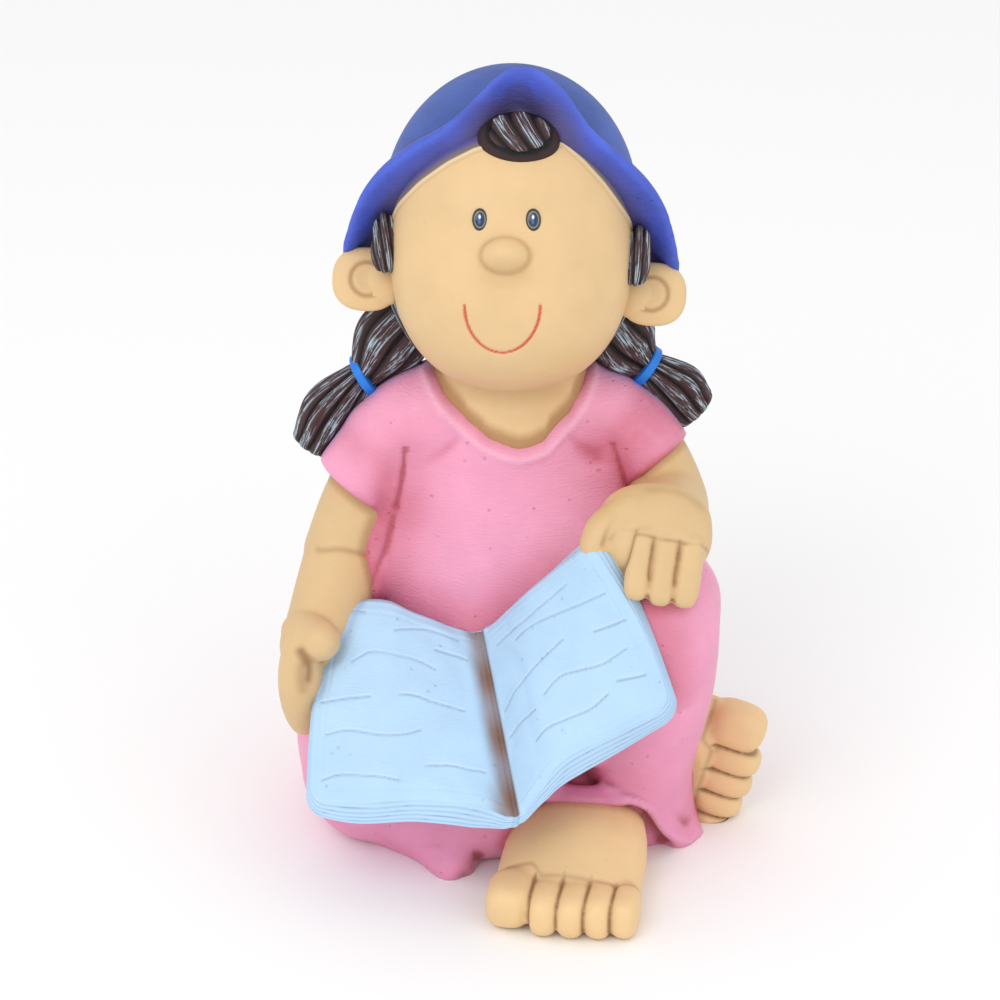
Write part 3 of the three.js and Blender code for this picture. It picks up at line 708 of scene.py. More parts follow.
# The pigtails hang behind the shoulders: a gathered bunch, a plain bright blue tie, and a tail
# that opens below it.
TIE_WIDTH = 6.5
TIE_PROUD = 1.2
GATHERED = 9
TIE_BLUE = np.array([0.006, 0.2, 0.75])
tie_paint = paint_material("tie_paint", 0.4, 0.08, 0.1, 0.03)
hair_pieces = []
LOCK_ROWS, LOCK_COLUMNS = 60, 160
PIGTAILS = {
    # the middle of the root, of the bunch, of the tie, of the tail and of its tip
    "left": ((-44, 24, 256), (-56.5, 25, 240), (-68, 24, 223.5), (-83, 25, 204), (-92, 26, 187)),
    "right": ((46, 24, 256), (58, 25, 238), (68, 24, 228), (82, 24, 215), (91, 24, 206)),
}
TIE_WAYS = {"left": (-0.85, 0, -0.52), "right": (0.8, 0, -0.6)}
for name, (root, bunch, tie, tail, tip) in PIGTAILS.items():
    seed = len(name)
    for end, stations, locks, depth, dome in (
        ("pigtail_", [(*root, 18), (*bunch, 18.5, 17), (*tie, GATHERED)], 8, 0.26, 0.3),
        ("pigtail_end_", [(*tie, GATHERED), (*tail, 16.5, 14), (*tip, 13.5, 11)], 9, 0.28, 0.45),
    ):
        ripple = locks_on(locks, seed, depth)
        rings = bar(stations, (0, 1, 0), LOCK_ROWS, LOCK_COLUMNS, dome, ripple)
        around = np.linspace(-np.pi, np.pi, LOCK_COLUMNS, endpoint=False)[None]
        domes = np.zeros(DOME_ROWS), np.ones(DOME_ROWS)
        share = np.concatenate([domes[0], np.linspace(0, 1, LOCK_ROWS), domes[1]])[:, None]
        heights = lock_height(around, share, locks, seed)
        obj = hair_piece(end + name, rings, heights, around * 15 + seed * 20, share * 45)
        hair_pieces.append(obj)
        seed += 2
    band = GATHERED + 1 + TIE_PROUD
    ends = [(*(np.array(tie) + np.array(TIE_WAYS[name]) * TIE_WIDTH / 4 * k), band) for k in (-1, 1)]
    rings = bar(ends, (0, 1, 0), 6, 64, TIE_WIDTH / 4 / band)
    mesh = mesh_of("hair_tie_" + name, [closed(rings)])
    painted(mesh, np.tile(TIE_BLUE, (len(mesh.vertices), 1)))
    piece("hair_tie_" + name, mesh, tie_paint)

# The dress and trousers: trunk, shoulders, short sleeves and both legs, cast in one and painted
# rose, sprayed darker in the folds as painted shade. The neckline is a sloping edge with a raised
# lip round a U.
DRESS = np.array([0.85, 0.34, 0.51])
# The shade and deep shade are painted shade; the lip and hem colours are painted highlights.
DRESS_SHADE = np.array([0.55, 0.09, 0.14])
DRESS_DEEP_SHADE = np.array([0.24, 0.04, 0.045])
DRESS_COOL = np.array([0.78, 0.27, 0.46])
LIP_HIGHLIGHT = np.array([0.93, 0.52, 0.66])
HEM_HIGHLIGHT = np.array([0.93, 0.5, 0.68])
HAIR_STAIN = np.array([0.62, 0.36, 0.62])
COLLAR_STEP = 2.2
CREST = np.array([
    # x, and the height of the neckline's crest there, in front
    [-52, 262],
    [-46, 248],
    [-41, 236],
    [-30, 220],
    [-18.6, 208.5],
    [-9, 202],
    [0, 198.8],
    [6, 197.2],
    [13, 198],
    [20, 200.5],
    [32, 212.3],
    [38, 222],
    [43, 234],
    [48, 248],
    [54, 262],
])
FOLD_LINE = [(-1, -46, 22), (-8, -56, 16), (-16, -66, 9), (-21, -74, 2)]
LEFT_SLEEVE_LINE = [(-47.8, -10.4, 199), (-49, -9.8, 188), (-50.6, -9.4, 177.4), (-52.7, -8.9, 167.6)]
LEFT_SIDE_LINE = [
    (-52.7, -8.9, 167.6),
    (-55.8, -8.8, 155.7),
    (-58.3, -11, 146),
    (-61.7, -14.4, 138),
    (-65, -17, 130),
]
RIGHT_SLEEVE_LINE = [(51.7, -9.1, 201), (53.7, -9.8, 194.4), (56.2, -9.8, 186.5), (59.4, -7.3, 176.4)]
HEM_CREST = [
    (21.3, -67.2, 40),
    (37.7, -69.9, 40.5),
    (50.7, -69.4, 39.1),
    (61.5, -66.5, 36.8),
    (70.1, -62.6, 29.4),
    (77, -57, 15.7),
    (88.1, -49, 4),
    (97.5, -34.5, 0.2),
]
HEM_HOLLOW = [(60, -66, 31), (65.5, -64, 27), (69, -60, 19), (73, -56, 10), (78, -50, 2)]


def trunk(slim, low=0):
    """The trunk and shoulders, with the upper ones slimmer by that much all round, and without
    the stations before low."""
    body = [
        (0, 32, -6, 74, 52),
        (0, 30, 45, 73, 57),
        (-2, 23, 105, 68, 53),
        (0, 20, 160, 59 - slim, 47 - slim),
        (3, 19, 192, 52 - slim, 38 - slim),
        (4, 19, 214, 42 - slim, 31 - slim),
    ]
    row = [
        (-55, 14, 193, 25),
        (-36, 16, 205, 27),
        (-12, 18, 211, 26),
        (22, 18, 212, 26),
        (43, 16, 207, 25),
        (62, 13, 199, 21),
    ]
    shoulders = [(x, y, z, radius - slim) for x, y, z, radius in row]
    return [closed(bar(body[low:], (0, -1, 0), 60, 90, 0.5)), closed(bar(shoulders))]


def sleeve(root, shoulder, hem, radius):
    """A short sleeve, a bar from the root over the shoulder to a nearly flat end at the hem."""
    stations = [(*root, radius - 2), (*shoulder, radius), (*hem, radius + 0.5)]
    return closed(bar(stations, (0, -1, 0), 30, 64, 0.12))


dress_shells = trunk(0) + [
    sleeve((-32, 16, 201), (-53, 14, 194), (-71.5, 8.5, 171), 23.5),
    sleeve((36, 16, 203), (56, 13, 201), (71, 6, 185), 22.5),
    closed(bar([(40, 44, 46, 40), (56, 4, 96, 39), (67, -36, 130, 36)])),
    closed(bar([
        (68, -42, 134, 35.5),
        (68, -51, 98, 33),
        (65, -37, 45, 28),
        (66, -24, 12, 29, 26),
        (67, -20, 0, 31, 26),
    ], (0, -1, 0.2), dome=0.9)),
    closed(bar([(-42, 44, 38, 43), (-62, 8, 42, 42), (-62, -26, 35, 39)])),
    closed(bar([(-57, -26, 31, 35), (-20, -46, 25, 28), (40, -34, 24, 26), (80, -10, 30, 20)])),
    closed(egg((4, -14, 70), (56, 38, 46))),
    closed(egg((-22, -42, 68), (60, 46, 25), turn=(45, 0, 0))),
    closed(egg((40, -47, 98), (38, 26, 46), turn=(-17, 0, 0))),
    closed(egg((28, 2, 134), (52, 39, 52))),
    closed(bar([(-56, 6, 172, 9), (-61, -1, 150, 10), (-62, -8, 126, 11)])),
    closed(bar([(-60, -26, 14, 22), (-36, -48, 10, 18), (-25, -68, 4, 12)])),
    closed(bar([
        (8, -56, 40, 5),
        (24, -63, 40, 5.5),
        (44, -65, 39, 6),
        (61, -61, 35, 6),
        (71, -56, 27, 6),
        (79, -50, 13, 6),
        (86, -42, 2, 7),
        (91, -32, 1, 8),
    ], rows=90)),
]
dress_mesh = cast("dress", dress_shells, cube=1.7, rounds=7)


def past_crest(points):
    """How far inside the neckline's crest a point lies, in millimetres: its height over the crest
    at its x, which goes up towards the back, times the cosine of the crest's slope."""
    crest = np.interp(points[:, 0], *CREST.T)
    slope = (np.interp(points[:, 0] + 1, *CREST.T) - np.interp(points[:, 0] - 1, *CREST.T)) / 2
    crest = crest + (250 - crest) * ease(10, 30, points[:, 1])
    return (points[:, 2] - crest) / np.hypot(1, slope)


points = points_of(dress_mesh)
smoother = averaged(points, dress_mesh, 150)
front = ease(12, -2, points[:, 1]) * ease(88, 105, points[:, 2]) * ease(205, 185, points[:, 2])
front = front * ease(66, 52, np.abs(points[:, 0]))
points = points + (smoother - points) * front[:, None]
move_to(dress_mesh, points)
inside = past_crest(points)
outward = normals_of(dress_mesh)
push = -5.5 * ease(0, 9, inside) + 1.1 * np.exp(-(((inside + 1.2) / 1.8) ** 2))
push = push - 4.5 * near_line(points, FOLD_LINE, 4.5)
push = push - 1.6 * near_line(points, LEFT_SLEEVE_LINE, 1.5)
push = push - 1.3 * near_line(points, RIGHT_SLEEVE_LINE, 1.4)
push = push - 1.2 * near_line(points, LEFT_SIDE_LINE, 2) - 5 * near_line(points, HEM_HOLLOW, 4)
push = push + 1.4 * near_line(points, HEM_CREST, 2.2)
points = points + outward * push[:, None]
points[:, 2] = np.maximum(points[:, 2], 0)
move_to(dress_mesh, points)
dress_points = points

# The neck and the part of the chest that shows in the neckline, painted tan, with painted shade
# sprayed brown along the edge of the cloth and under the chin.
neck_stations = [(4, 20, 262, 34, 31), (4, 17, 238, 38, 30), (4, 14, 222, 38, 25), (4, 10, 200, 34, 20)]
neck = closed(bar(neck_stations, (0, -1, 0), 40, 64))
neck_mesh = cast("neck_and_chest", trunk(COLLAR_STEP, 3) + [neck], cube=2, rounds=6)
points = points_of(neck_mesh)
sunk = 4 * (1 - ease(0.5, 4, past_crest(points))) * ease(25, 15, points[:, 1])
points = points - normals_of(neck_mesh) * sunk[:, None]
move_to(neck_mesh, points)
# Painted shade along the edge of the cloth and under the chin.
edge_share = (1 - ease(6.5, 12, past_crest(points))) * (points[:, 1] < 20)
neck_colour = mixed(np.tile(SKIN * 1.05, (len(points), 1)), SKIN_SHADE, 0.85 * edge_share)
under_chin = distance(points, on_head(face_local)[::60])
neck_colour = mixed(neck_colour, SKIN_SHADE, 0.3 * (1 - ease(2, 12, under_chin)))
painted(neck_mesh, neck_colour)
piece("neck_and_chest", neck_mesh, skin_paint)


def skin_piece(name, mesh, rounds, darkest, beside=(), carved=(), groove=0, lightness=0.93):
    """A skin piece of a cast mesh, sprayed brown as painted shade where it is hollow and where it
    meets others. Carved lines are (stations, depth, width, strength of the brown painted shade),
    and groove is the share of a further groove at each point, painted as shade too. lightness
    scales the skin colour, darker on the arms and lighter on the feet, as painted shade and light."""
    points = points_of(mesh)
    outward = normals_of(mesh)
    shares = [near_line(points, line, width) for line, _, width, _ in carved]
    push = -sum(share * depth for share, (_, depth, _, _) in zip(shares, carved))
    groove = np.zeros(len(points)) + groove
    points = points + outward * (push - 0.7 * groove)[:, None]
    points[:, 2] = np.maximum(points[:, 2], 0)
    move_to(mesh, points)
    # The skin scaled by lightness, then painted shade in hollows, at other pieces, in lines and groove.
    colour = np.tile(SKIN * lightness, (len(points), 1))
    colour = mixed(colour, SKIN_SHADE, 0.75 * ease(0.15, darkest, hollow(mesh, rounds)))
    for other, strength, reach in beside:
        colour = mixed(colour, SKIN_SHADE, strength * nearness(points, other, reach))
    for share, (_, _, _, strength) in zip(shares, carved):
        colour = mixed(colour, SKIN_SHADE * 0.7, strength * share)
    colour = mixed(colour, SKIN_SHADE * 0.6, 0.85 * groove)
    painted(mesh, colour)
    piece(name, mesh, skin_paint)
    return points


# The left arm hangs down, and its hand holds the book's edge between thumb and fingers.
left_arm = cast("left_arm", [
    closed(bar([(-60, 12, 188, 18), (-72, 9, 160, 18.8), (-80, 4, 138, 19)], (0, -1, 0))),
    closed(bar([(-79, 5, 142, 18), (-84, -14, 122, 19.5), (-94, -38, 108, 15)], (0, -1, 0))),
    closed(egg((-98, -47, 92), (11.5, 15, 31), turn=(12, 0, 5))),
    closed(bar([(-97, -40, 116, 11), (-88, -54, 119, 10)])),
], cube=1.0, rounds=5)
FOREARM_LINE = [
    (-91, -8, 146),
    (-89.7, -12.4, 146.7),
    (-79.9, -14.3, 148.2),
    (-70.3, -13, 145.3),
    (-62.9, -6.3, 138.8),
]
LEFT_THUMB_LINE = [(-97.4, -60, 116), (-94.6, -61, 112), (-92.4, -60.4, 107.6), (-92.9, -61.5, 101.7)]
LEFT_FINGER_SHADE = [(-96.5, -62, 108.6), (-97.1, -62.8, 102.4), (-96.3, -62.5, 96.9)]
# Painted shade where the sleeve meets the arm, in the forearm's crease, round the thumb and fingers.
left_arm_points = skin_piece("left_arm", left_arm, 30, 1.4, [(dress_points, 0.6, 6)], [
    (FOREARM_LINE, 0.7, 1.5, 0.4),
    (LEFT_THUMB_LINE, 1.5, 2.5, 0.75),
    (LEFT_FINGER_SHADE, 0.5, 3, 0.4),
])

# The right arm rests its hand on the raised knee, with four square-sided fingers over the front
# and the thumb along the book's corner.
FINGER_WIDTH = 15
right_shells = [
    closed(bar([(62, 12, 198, 19), (73, 6, 184, 18), (80, -12, 173, 17.5), (78, -38, 175, 18)])),
    closed(egg((70, -54, 176.8), (27, 23.5, 15.5), turn=(34, 0, 0), power=2.5)),
    closed(bar([(58.5, -51, 185.5, 9.5), (46.5, -59, 180, 9), (42.5, -64, 174.5, 8)])),
]
for middle in ((52, -59, 170), (62.3, -71, 168.5), (73.5, -72, 166), (84.7, -72, 165)):
    radii = (FINGER_WIDTH / 2 - 0.9, 9.5, 17.5)
    right_shells.append(closed(egg(middle, radii, turn=(-28, 8, 0), power=3.4, rows=50, columns=60)))
right_arm = cast("right_arm", right_shells, cube=0.9, rounds=3)
FINGER_LINES = [
    [(60.2, -69.3, 185.7), (58, -74.1, 179.3), (56.3, -75.9, 172.5), (55, -74.7, 165.2), (54, -76, 158)],
    [(69.3, -72.5, 182.9), (67.7, -76.8, 175.5), (66.5, -81.3, 166.4), (66, -80.8, 155.3), (66, -78, 149)],
    [(81.1, -72.9, 180.8), (79.7, -77.3, 173.2), (78.3, -81.7, 165.1), (77.3, -82.2, 154.1), (77, -79, 148)],
]
KNUCKLE_LINE = [(48.5, -69.5, 179.7), (52.4, -67.9, 184.5), (60, -69.2, 185.7)]
FINGER_ROOTS = [
    [(60.8, -71.4, 184.1), (69.1, -72.5, 182.9)],
    [(70.5, -72.9, 182.3), (80.7, -73, 180.8)],
    [(82.5, -73.3, 180), (91.7, -71.6, 177.6), (94.5, -63.7, 170.6)],
]
THUMB_LINE = [(51.3, -63.4, 191.1), (48.9, -66.8, 186.6), (46.6, -69.1, 181.5), (45.3, -70.5, 177.6)]
WRIST_SHADE = [(67.5, -49.9, 197.6), (77.8, -50.1, 197.2), (86.1, -52.3, 194.6), (92.2, -54.8, 190.2)]
# Painted shade between the fingers, at the knuckles and thumb, at the wrist and by the sleeve.
right_arm_points = skin_piece("right_arm", right_arm, 24, 1.1, [(dress_points, 0.5, 5)], [
    *[(line, 0.8, 1.7, 0.15) for line in FINGER_LINES],
    *[(line, 0.5, 0.6, 0.75) for line in FINGER_LINES],
    (KNUCKLE_LINE, 0.7, 0.9, 0.4),
    *[(line, 0.8, 0.9, 0.4) for line in FINGER_ROOTS],
    (THUMB_LINE, 0.9, 1.3, 0.45),
    (WRIST_SHADE, 0, 3, 0.3),
])

# The feet are bare, broad and short, each with five round toes. The left foot stands forward, and
# the right one lies on its side with the big toe up.
FOOT_LENGTH = 104
FOOT_WIDTH = 71
TOE_HEIGHT = 23
TOE_WIDTHS = (0.3, 0.19, 0.18, 0.175, 0.165)
TOE_REACH = (0.85, 0.885, 0.88, 0.865, 0.84)


def foot_frame(along, across):
    """The foot's own three directions, along its length, across it and up out of it."""
    x = np.array(along) / np.linalg.norm(along)
    z = np.cross(x, across)
    z /= np.linalg.norm(z)
    return np.stack([x, np.cross(z, x), z])


def foot(big, origin, along, across):
    """Shells of a foot in its own frame, the big toe on the side that big gives, set at origin
    with its length and its width along two directions."""
    long, wide, toe = FOOT_LENGTH, FOOT_WIDTH / 2, TOE_HEIGHT / 2
    forms = [bar([
        (long * 0.16, 0, 17, wide * 0.8, 19),
        (long * 0.42, 0, 17, wide * 0.96, 22),
        (long * 0.72, 0, toe - 1, wide, toe + 2),
    ], dome=0.7)]
    edge = wide
    for i, (share, reach) in enumerate(zip(TOE_WIDTHS, TOE_REACH)):
        half = share * wide
        drop = 0 if i == 0 else 1
        centre = (reach * long, big * (edge - half), toe - drop)
        forms.append(egg(centre, (15 if i == 0 else 14, half + 0.8, toe - drop * 0.5), power=2.9))
        edge -= 2 * half
    shells = []
    for rings in forms:
        points, faces = closed(rings)
        shells.append((points @ foot_frame(along, across) + origin, faces))
    return shells


def toe_grooves(points, big, origin, along, across):
    """Grooves between the toes and a shallower one across their roots, in the foot's own frame."""
    here = (points - origin) @ foot_frame(along, across).T
    out = here[:, 0] / FOOT_LENGTH
    deep = np.zeros(len(points))
    edge = FOOT_WIDTH / 2
    for share in TOE_WIDTHS[:-1]:
        edge -= 2 * share * FOOT_WIDTH / 2
        deep = np.maximum(deep, np.exp(-(((here[:, 1] - big * edge) / 0.8) ** 2)) * ease(0.74, 0.79, out))
    root = 0.715 + 0.06 * ease(0.5, 0.3, here[:, 1] * big / FOOT_WIDTH * 2)
    across_roots = np.exp(-(((out - root) * FOOT_LENGTH / 1.2) ** 2)) * (here[:, 2] > TOE_HEIGHT * 0.55)
    return np.maximum(deep, 0.45 * across_roots)


feet_points = []
# The feet are painted lighter than the skin as painted light, with painted shade at toes and dress.
touching = [(dress_points, 0.35, 5)]
for name, *place in (
    ("left_foot", -1, (43.5, -29.5, 0), (-0.19, -1, 0), (1, -0.19, 0)),
    ("right_foot", 1, (28, 15, 49), (1, -0.22, -0.27), (0.28, 0, 1)),
):
    mesh = cast(name, foot(*place), cube=1.15, rounds=3)
    groove = toe_grooves(points_of(mesh), *place)
    feet_points.append(skin_piece(name, mesh, 24, 1.3, touching, groove=groove, lightness=1.1))

# The open book: two curved pages over a block of leaves, painted pale blue and sprayed brown as
# painted shade in the gutter. Rows of incised wavy strokes stand for its writing, with painted
# shade in the strokes, between the leaves and round the thumb, and a painted highlight along the
# strokes' lips.
SPREAD_WIDTH = 178
PAGE_HEIGHT = 88
PAGE_BLOCK = 13
PAGE_SPREAD = 5
PAGE_BOW = 4
CORNER = 7
BOOK_BLUE = np.array([0.45, 0.66, 0.88])
BOOK_SHADE = np.array([0.3, 0.45, 0.7])
GUTTER_SHADE_BROWN = np.array([0.2, 0.085, 0.04])
PAGE_HIGHLIGHT = np.array([0.7, 0.85, 1.0])
UNDER_BOOK = (-6, -66, 62)
NEAR_EDGE = [
    (-91.1, -98, 57.3),
    (-68.2, -102, 58.6),
    (-39.9, -105, 62),
    (-12.7, -108, 61.1),
    (5.1, -109, 55.2),
    (16.3, -108, 71.3),
    (28.3, -106, 85.2),
    (52.4, -102, 96.3),
    (77.1, -96, 106.7),
]
NEAR_RIM = [
    (-91, -102, 52),
    (-68.2, -106, 49.5),
    (-39.9, -109, 52.4),
    (-12.7, -111, 50.4),
    (4.6, -111.5, 51.2),
    (17.2, -110, 63.4),
    (29.3, -107, 72.9),
    (53.6, -101, 85.6),
    (79.8, -94, 99.2),
]
FAR_EDGE = [
    (-82, -30, 127.4),
    (-58, -31, 128),
    (-40, -32.5, 121.5),
    (-19.5, -34, 114.2),
    (-12, -36, 114.6),
    (-2.4, -41, 126),
    (5, -47, 136.5),
    (22, -60, 158),
    (39.2, -72, 177.8),
]
STROKES = [
    # places across and away, left page and then right page
    [(0.173, 0.869), (0.235, 0.913), (0.283, 0.931), (0.35, 0.925)],
    [(0.075, 0.694), (0.098, 0.725), (0.12, 0.744), (0.19, 0.744), (0.25, 0.744), (0.292, 0.719)],
    [(0.292, 0.831), (0.333, 0.831), (0.383, 0.825)],
    [(0.015, 0.488), (0.072, 0.506), (0.133, 0.519)],
    [(0.208, 0.544), (0.245, 0.55), (0.28, 0.537), (0.323, 0.525), (0.362, 0.519)],
    [(0.035, 0.325), (0.085, 0.35), (0.138, 0.338), (0.188, 0.331), (0.23, 0.344), (0.258, 0.369)],
    [(0.028, 0.1), (0.062, 0.125), (0.092, 0.131), (0.158, 0.125), (0.21, 0.1)],
    [(0.268, 0.181), (0.297, 0.188), (0.323, 0.194), (0.362, 0.188), (0.41, 0.194)],
    [(0.03, 0.956), (0.055, 0.956), (0.08, 0.944)],
    [(0.57, 0.869), (0.66, 0.869), (0.743, 0.863), (0.815, 0.875), (0.89, 0.894)],
    [(0.677, 0.806), (0.77, 0.806), (0.835, 0.781), (0.9, 0.75), (0.965, 0.731)],
    [(0.9, 0.575), (0.938, 0.556), (0.978, 0.544)],
    [(0.54, 0.531), (0.61, 0.562), (0.705, 0.575), (0.772, 0.6), (0.825, 0.631)],
    [(0.733, 0.406), (0.79, 0.444), (0.838, 0.419), (0.888, 0.388), (0.95, 0.4)],
    [(0.905, 0.263), (0.938, 0.238), (0.968, 0.219)],
    [(0.537, 0.388), (0.6, 0.388), (0.68, 0.369)],
    [(0.647, 0.225), (0.715, 0.219), (0.77, 0.2), (0.828, 0.188), (0.875, 0.219)],
]
book_paint = paint_material("book_paint", 0.5, 0.28, 0.4, 0.04)
COLUMNS, ROWS, SKIRT = 350, 136, 26
across, away = np.meshgrid(np.linspace(0, 1, COLUMNS), np.linspace(0, 1, ROWS))


def rounded_corner(across, away):
    """Places on the pages with the four corners drawn in: near a corner the square of places is
    pressed into a quarter disc, where each way shrinks by the root of 1 - half the other's
    square."""
    side = np.clip(1 - np.minimum(across, 1 - across) * SPREAD_WIDTH / CORNER, 0, 1)
    end = np.clip(1 - np.minimum(away, 1 - away) * PAGE_HEIGHT / CORNER, 0, 1)
    side_in = side * (1 - np.sqrt(1 - end**2 / 2)) * CORNER / SPREAD_WIDTH
    end_in = end * (1 - np.sqrt(1 - side**2 / 2)) * CORNER / PAGE_HEIGHT
    return across + np.sign(0.5 - across) * side_in, away + np.sign(0.5 - away) * end_in


def page(across, away):
    """Points on the top pages and the directions across, away and out of them: between the near
    and the far edge by the share away, bowed out sideways by PAGE_BOW half way."""
    flat = across.ravel()
    near, far = through(NEAR_EDGE, flat), through(FAR_EDGE, flat)
    step = through(NEAR_EDGE, flat + 1e-3) - through(NEAR_EDGE, flat - 1e-3)
    far_step = through(FAR_EDGE, flat + 1e-3) - through(FAR_EDGE, flat - 1e-3)
    v = away.ravel()[:, None]
    spread = step * (1 - v) / np.linalg.norm(step, axis=1)[:, None]
    spread = spread + far_step * v / np.linalg.norm(far_step, axis=1)[:, None]
    spread /= np.linalg.norm(spread, axis=1)[:, None]
    rise = (far - near) / np.linalg.norm(far - near, axis=1)[:, None]
    out = np.cross(spread, rise)
    out /= np.linalg.norm(out, axis=1)[:, None]
    places = near + (far - near) * v
    places = places + spread * ((flat[:, None] - 0.5) * 8 * PAGE_BOW * v * (1 - v))
    return places, spread, rise, out, through(NEAR_RIM, flat) - near


u, v = rounded_corner(across, away)
top, spread, rise, out, drop = page(u, v)
stroke_points = []
for stroke in STROKES:
    place = through(stroke, np.linspace(0, 1, 50))
    stroke_points.append(page(place[:, 0], place[:, 1])[0])
stroke_points = np.vstack(stroke_points)
flat_u, flat_v = u.ravel(), v.ravel()
from_stroke = distance(top, stroke_points)
lip = distance(top - rise * 0.9 - out * 0.2, stroke_points)
waves = 0.35 * np.sin(flat_u * 31 + 3 * np.sin(flat_v * 7)) * np.sin(flat_v * 13 + 2 * np.sin(flat_u * 19))
relief = waves - 0.7 * np.exp(-((from_stroke / 0.5) ** 2)) + 0.3 * np.exp(-((lip / 0.6) ** 2))
from_sides = np.minimum(flat_u, 1 - flat_u) * SPREAD_WIDTH
edge_away = np.minimum(from_sides, np.minimum(flat_v, 1 - flat_v) * PAGE_HEIGHT)
relief = relief - 1.3 * (1 - ease(0, 4.5, edge_away)) - 0.35 * np.exp(-(((edge_away - 5) / 0.6) ** 2))
gutter = page(np.full(flat_v.shape, 0.5), flat_v)[0]
from_gutter = np.linalg.norm(top - gutter, axis=1)
relief = relief * ease(2, 5, from_gutter) - 1.2 * (1 - ease(0, 2, from_gutter))
relief = relief - 1.6 * nearness(top, left_arm_points, 7)
top_points = top + out * relief[:, None]
loop_row = np.concatenate([
    np.zeros(COLUMNS, int),
    np.arange(1, ROWS),
    np.full(COLUMNS - 1, ROWS - 1),
    np.arange(ROWS - 2, 0, -1),
])
loop_column = np.concatenate([
    np.arange(COLUMNS),
    np.full(ROWS - 1, COLUMNS - 1),
    np.arange(COLUMNS - 2, -1, -1),
    np.zeros(ROWS - 2, int),
])
rim = loop_row * COLUMNS + loop_column
depth = np.linspace(0, 1, SKIRT)[1:, None]
rim_u, rim_v = flat_u[rim], flat_v[rim]
under = -out[rim] * PAGE_BLOCK + rise[rim] * PAGE_SPREAD
down = drop[rim] * (1 - rim_v[:, None]) + under * rim_v[:, None]
down = down + spread[rim] * ((rim_u - 0.5) * PAGE_SPREAD)[:, None]
sideways = spread[rim] * ((rim_u - 0.5) * 2)[:, None] ** 9 + rise[rim] * ((rim_v - 0.5) * 2)[:, None] ** 9
wobble = 0.02 * np.sin(rim_u * 23 + depth * 4) + 0.008 * np.sin(rim_u * 61 + rim_v * 9)
leaves = np.abs(np.sin((depth + wobble) * np.pi * 5)) ** 0.4
bulge = (2.2 * np.sqrt(np.maximum(depth * (1 - depth), 0)) + 0.6 * (leaves - 1)) * ease(0, 0.1, depth)
skirt = top_points[rim] + down * depth[..., None] + sideways * bulge[..., None]
index = np.arange(ROWS * COLUMNS).reshape(ROWS, COLUMNS)
rings = np.vstack([rim, ROWS * COLUMNS + np.arange((SKIRT - 1) * len(rim)).reshape(SKIRT - 1, -1)])
beside = np.roll(rings, -1, axis=1)
points = np.vstack([top_points, skirt.reshape(-1, 3), [UNDER_BOOK]])
middle = np.full(len(rim), len(points) - 1)
book_faces = np.vstack([
    np.stack([index[:-1, :-1], index[:-1, 1:], index[1:, 1:], index[1:, :-1]], -1).reshape(-1, 4),
    np.stack([rings[1:], beside[1:], beside[:-1], rings[:-1]], -1).reshape(-1, 4),
    np.stack([beside[-1], rings[-1], middle, middle], -1),
])
book_mesh = mesh_of("book", [(points, book_faces)])
colour = np.tile(BOOK_BLUE, (len(points), 1))
# Painted shade in the strokes and between the leaves, and a painted highlight on the strokes' lips.
groove = np.concatenate([0.65 * np.exp(-((from_stroke / 0.5) ** 2)), (1 - leaves).ravel() * 0.9, [0]])
colour = mixed(colour, BOOK_SHADE * 0.7, groove)
highlight = np.concatenate([np.exp(-((lip / 0.6) ** 2)), np.zeros(len(points) - len(top))])
colour = mixed(colour, PAGE_HIGHLIGHT, 0.4 * highlight)
# Painted shade sprayed brown along the gutter, wider on the left page and at the gutter's foot.
left_side = 1 - ease(2, 11, from_gutter)
right_side = 1 - ease(0.8, 3.2, from_gutter)
brown = np.where(flat_u < 0.5, left_side, right_side) * (0.88 + 0.12 * np.sin(flat_v * 19))
foot_brown = 0.8 * (1 - ease(4, 16, np.hypot(from_gutter, flat_v * 60))) * (flat_u < 0.5)
brown = np.concatenate([np.maximum(brown, foot_brown), np.zeros(len(points) - len(top))])
colour = mixed(colour, GUTTER_SHADE_BROWN, 0.95 * brown)
# Painted shade round the thumb.
colour = mixed(colour, BOOK_SHADE, 0.6 * nearness(points, left_arm_points, 5))
painted(book_mesh, colour)
piece("book", book_mesh, book_paint)

# The dress's painted shade is sprayed last: darker in its hollows, along the book, under the
# hands, by the feet and at the ends of the sleeves, with painted highlights on the neckline's lip
# and the hem's crest.
points = dress_points
colour = np.tile(DRESS, (len(points), 1))
cooler = ease(20, -60, points[:, 1]) * ease(150, 40, points[:, 2])
colour = mixed(colour, DRESS_COOL, 0.7 * cooler)
# Painted shade in the hollows, along the book and where the arms and feet meet the dress.
hollows = ease(0.1, 1.6, hollow(dress_mesh, 40))
colour = mixed(colour, DRESS_SHADE, 0.75 * hollows)
by_book = nearness(points, points_of(book_mesh)[::3], 26) * (points[:, 2] > 95)
colour = mixed(colour, DRESS_SHADE, 0.55 * by_book)
colour = mixed(colour, DRESS_SHADE, 0.6 * nearness(points, left_arm_points[::2], 8))
colour = mixed(colour, DRESS_SHADE, 0.6 * nearness(points, right_arm_points[::2], 9))
for foot_points in feet_points:
    colour = mixed(colour, DRESS_SHADE, 0.6 * nearness(points, foot_points[::2], 7))
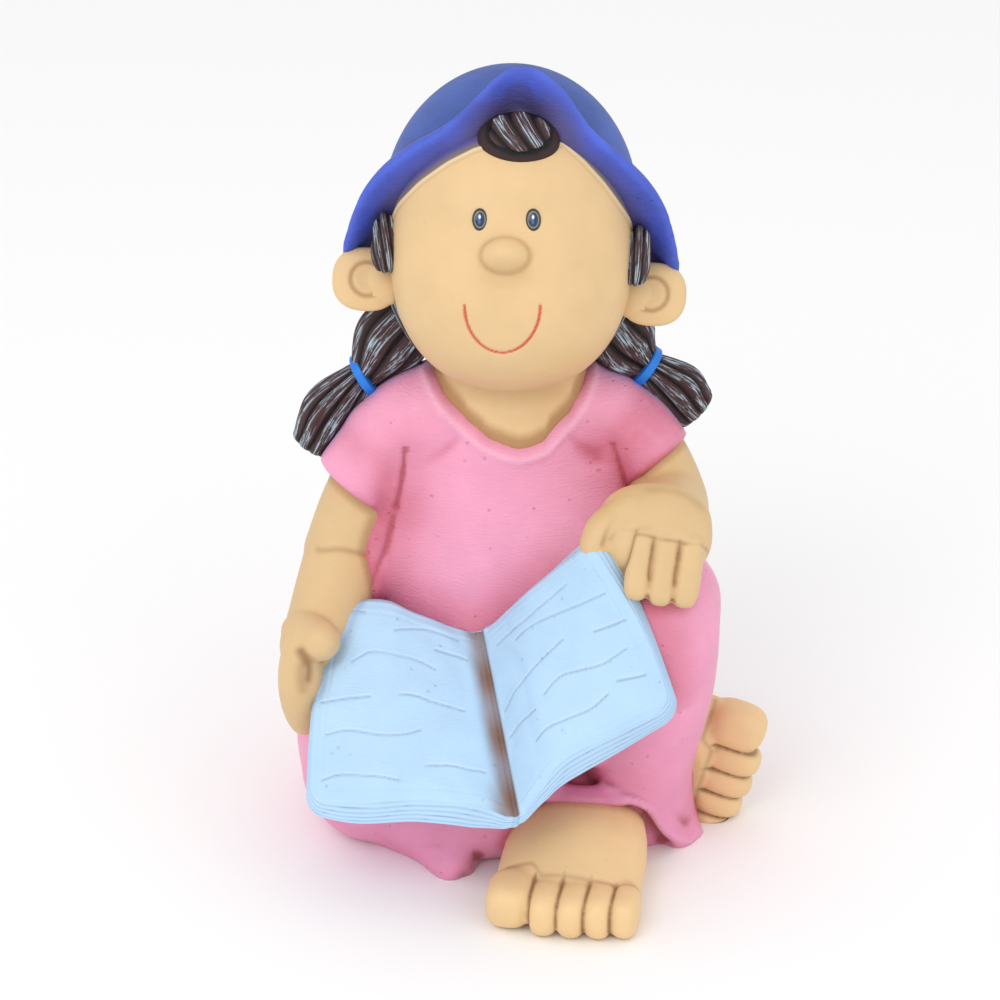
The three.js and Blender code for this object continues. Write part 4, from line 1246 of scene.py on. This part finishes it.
# Painted shade in the fine creases and along the lines under the sleeves and down the left side.
crest_side = np.exp(-((past_crest(points) / 9) ** 2)) * (points[:, 2] > 185)
creases = ease(0.08, 0.3, hollow(dress_mesh, 3)) * (1 - crest_side)
colour = mixed(colour, DRESS_DEEP_SHADE, 0.6 * creases)
from_top = ease(200, 176, points[:, 2])
for line, spread, strength in (
    (LEFT_SLEEVE_LINE, 14, 0.3),
    (LEFT_SIDE_LINE, 16, 0.45),
    (RIGHT_SLEEVE_LINE, 14, 0.5),
):
    colour = mixed(colour, DRESS_SHADE, strength * near_line(points, line, spread))
    colour = mixed(colour, DRESS_DEEP_SHADE, 0.55 * near_line(points, line, 0.9) * from_top)
tails = np.vstack([points_of(obj.data)[::9] for obj in hair_pieces])
colour = mixed(colour, HAIR_STAIN, 0.75 * nearness(points, tails, 9))
# Painted shade on the collar's inner face, and a painted highlight on its lip.
collar = ease(2, 7.5, past_crest(points)) * (points[:, 2] > 190)
colour = mixed(colour, SKIN_SHADE * 1.25, 0.8 * collar)
colour = mixed(colour, LIP_HIGHLIGHT, 0.5 * np.exp(-(((past_crest(points) + 1) / 1.5) ** 2)))
# Painted shade in the fold and under the hem, and a painted highlight on the hem's crest.
colour = mixed(colour, DRESS_DEEP_SHADE, 0.6 * near_line(points, FOLD_LINE, 4))
colour = mixed(colour, DRESS_DEEP_SHADE, 0.75 * near_line(points, HEM_HOLLOW, 4))
colour = mixed(colour, HEM_HIGHLIGHT, 0.35 * near_line(points, HEM_CREST, 1.8))
painted(dress_mesh, colour)
dress_paint = paint_material("dress_paint", 0.42, 0.4, 0.5, 0.07)
piece("dress", dress_mesh, dress_paint)

# The floor and the light: a pale ground that runs out of view, an even white sky, and two wide
# soft lamps above the camera.
world = bpy.data.worlds.new("studio")
world.use_nodes = True
world.node_tree.nodes["Background"].inputs["Color"].default_value = (1, 1, 1, 1)
world.node_tree.nodes["Background"].inputs["Strength"].default_value = 0.92
bpy.context.scene.world = world
bpy.context.scene.view_settings.view_transform = "Standard"
floor_mesh = bpy.data.meshes.new("floor")
floor_mesh.from_pydata([(-9, -6, 0), (9, -6, 0), (9, 12, 0), (-9, 12, 0)], [], [(0, 1, 2, 3)])
floor = bpy.data.objects.new("floor", floor_mesh)
floor_material = bpy.data.materials.new("floor")
floor_material.use_nodes = True
floor_shader = floor_material.node_tree.nodes["Principled BSDF"]
floor_shader.inputs["Base Color"].default_value = (0.96, 0.96, 0.96, 1)
floor_shader.inputs["Roughness"].default_value = 0.9
floor_mesh.materials.append(floor_material)
bpy.context.scene.collection.objects.link(floor)
LAMP_AIM = np.array([0, -0.02, 0.18])
LAMPS = (("key", (-0.9, -1.6, 1.9), 15, 1.4), ("fill", (1.3, -1.5, 1.2), 4, 1.6))
for name, place, power, size in LAMPS:
    lamp = bpy.data.objects.new(name, bpy.data.lights.new(name, "AREA"))
    lamp.data.energy = power
    lamp.data.size = size
    lamp.location = place
    aim = LAMP_AIM - place
    tip_over = math.atan2(math.hypot(*aim[:2]), -aim[2])
    lamp.rotation_euler = (tip_over, 0, math.atan2(aim[1], aim[0]) - math.pi / 2)
    bpy.context.scene.collection.objects.link(lamp)
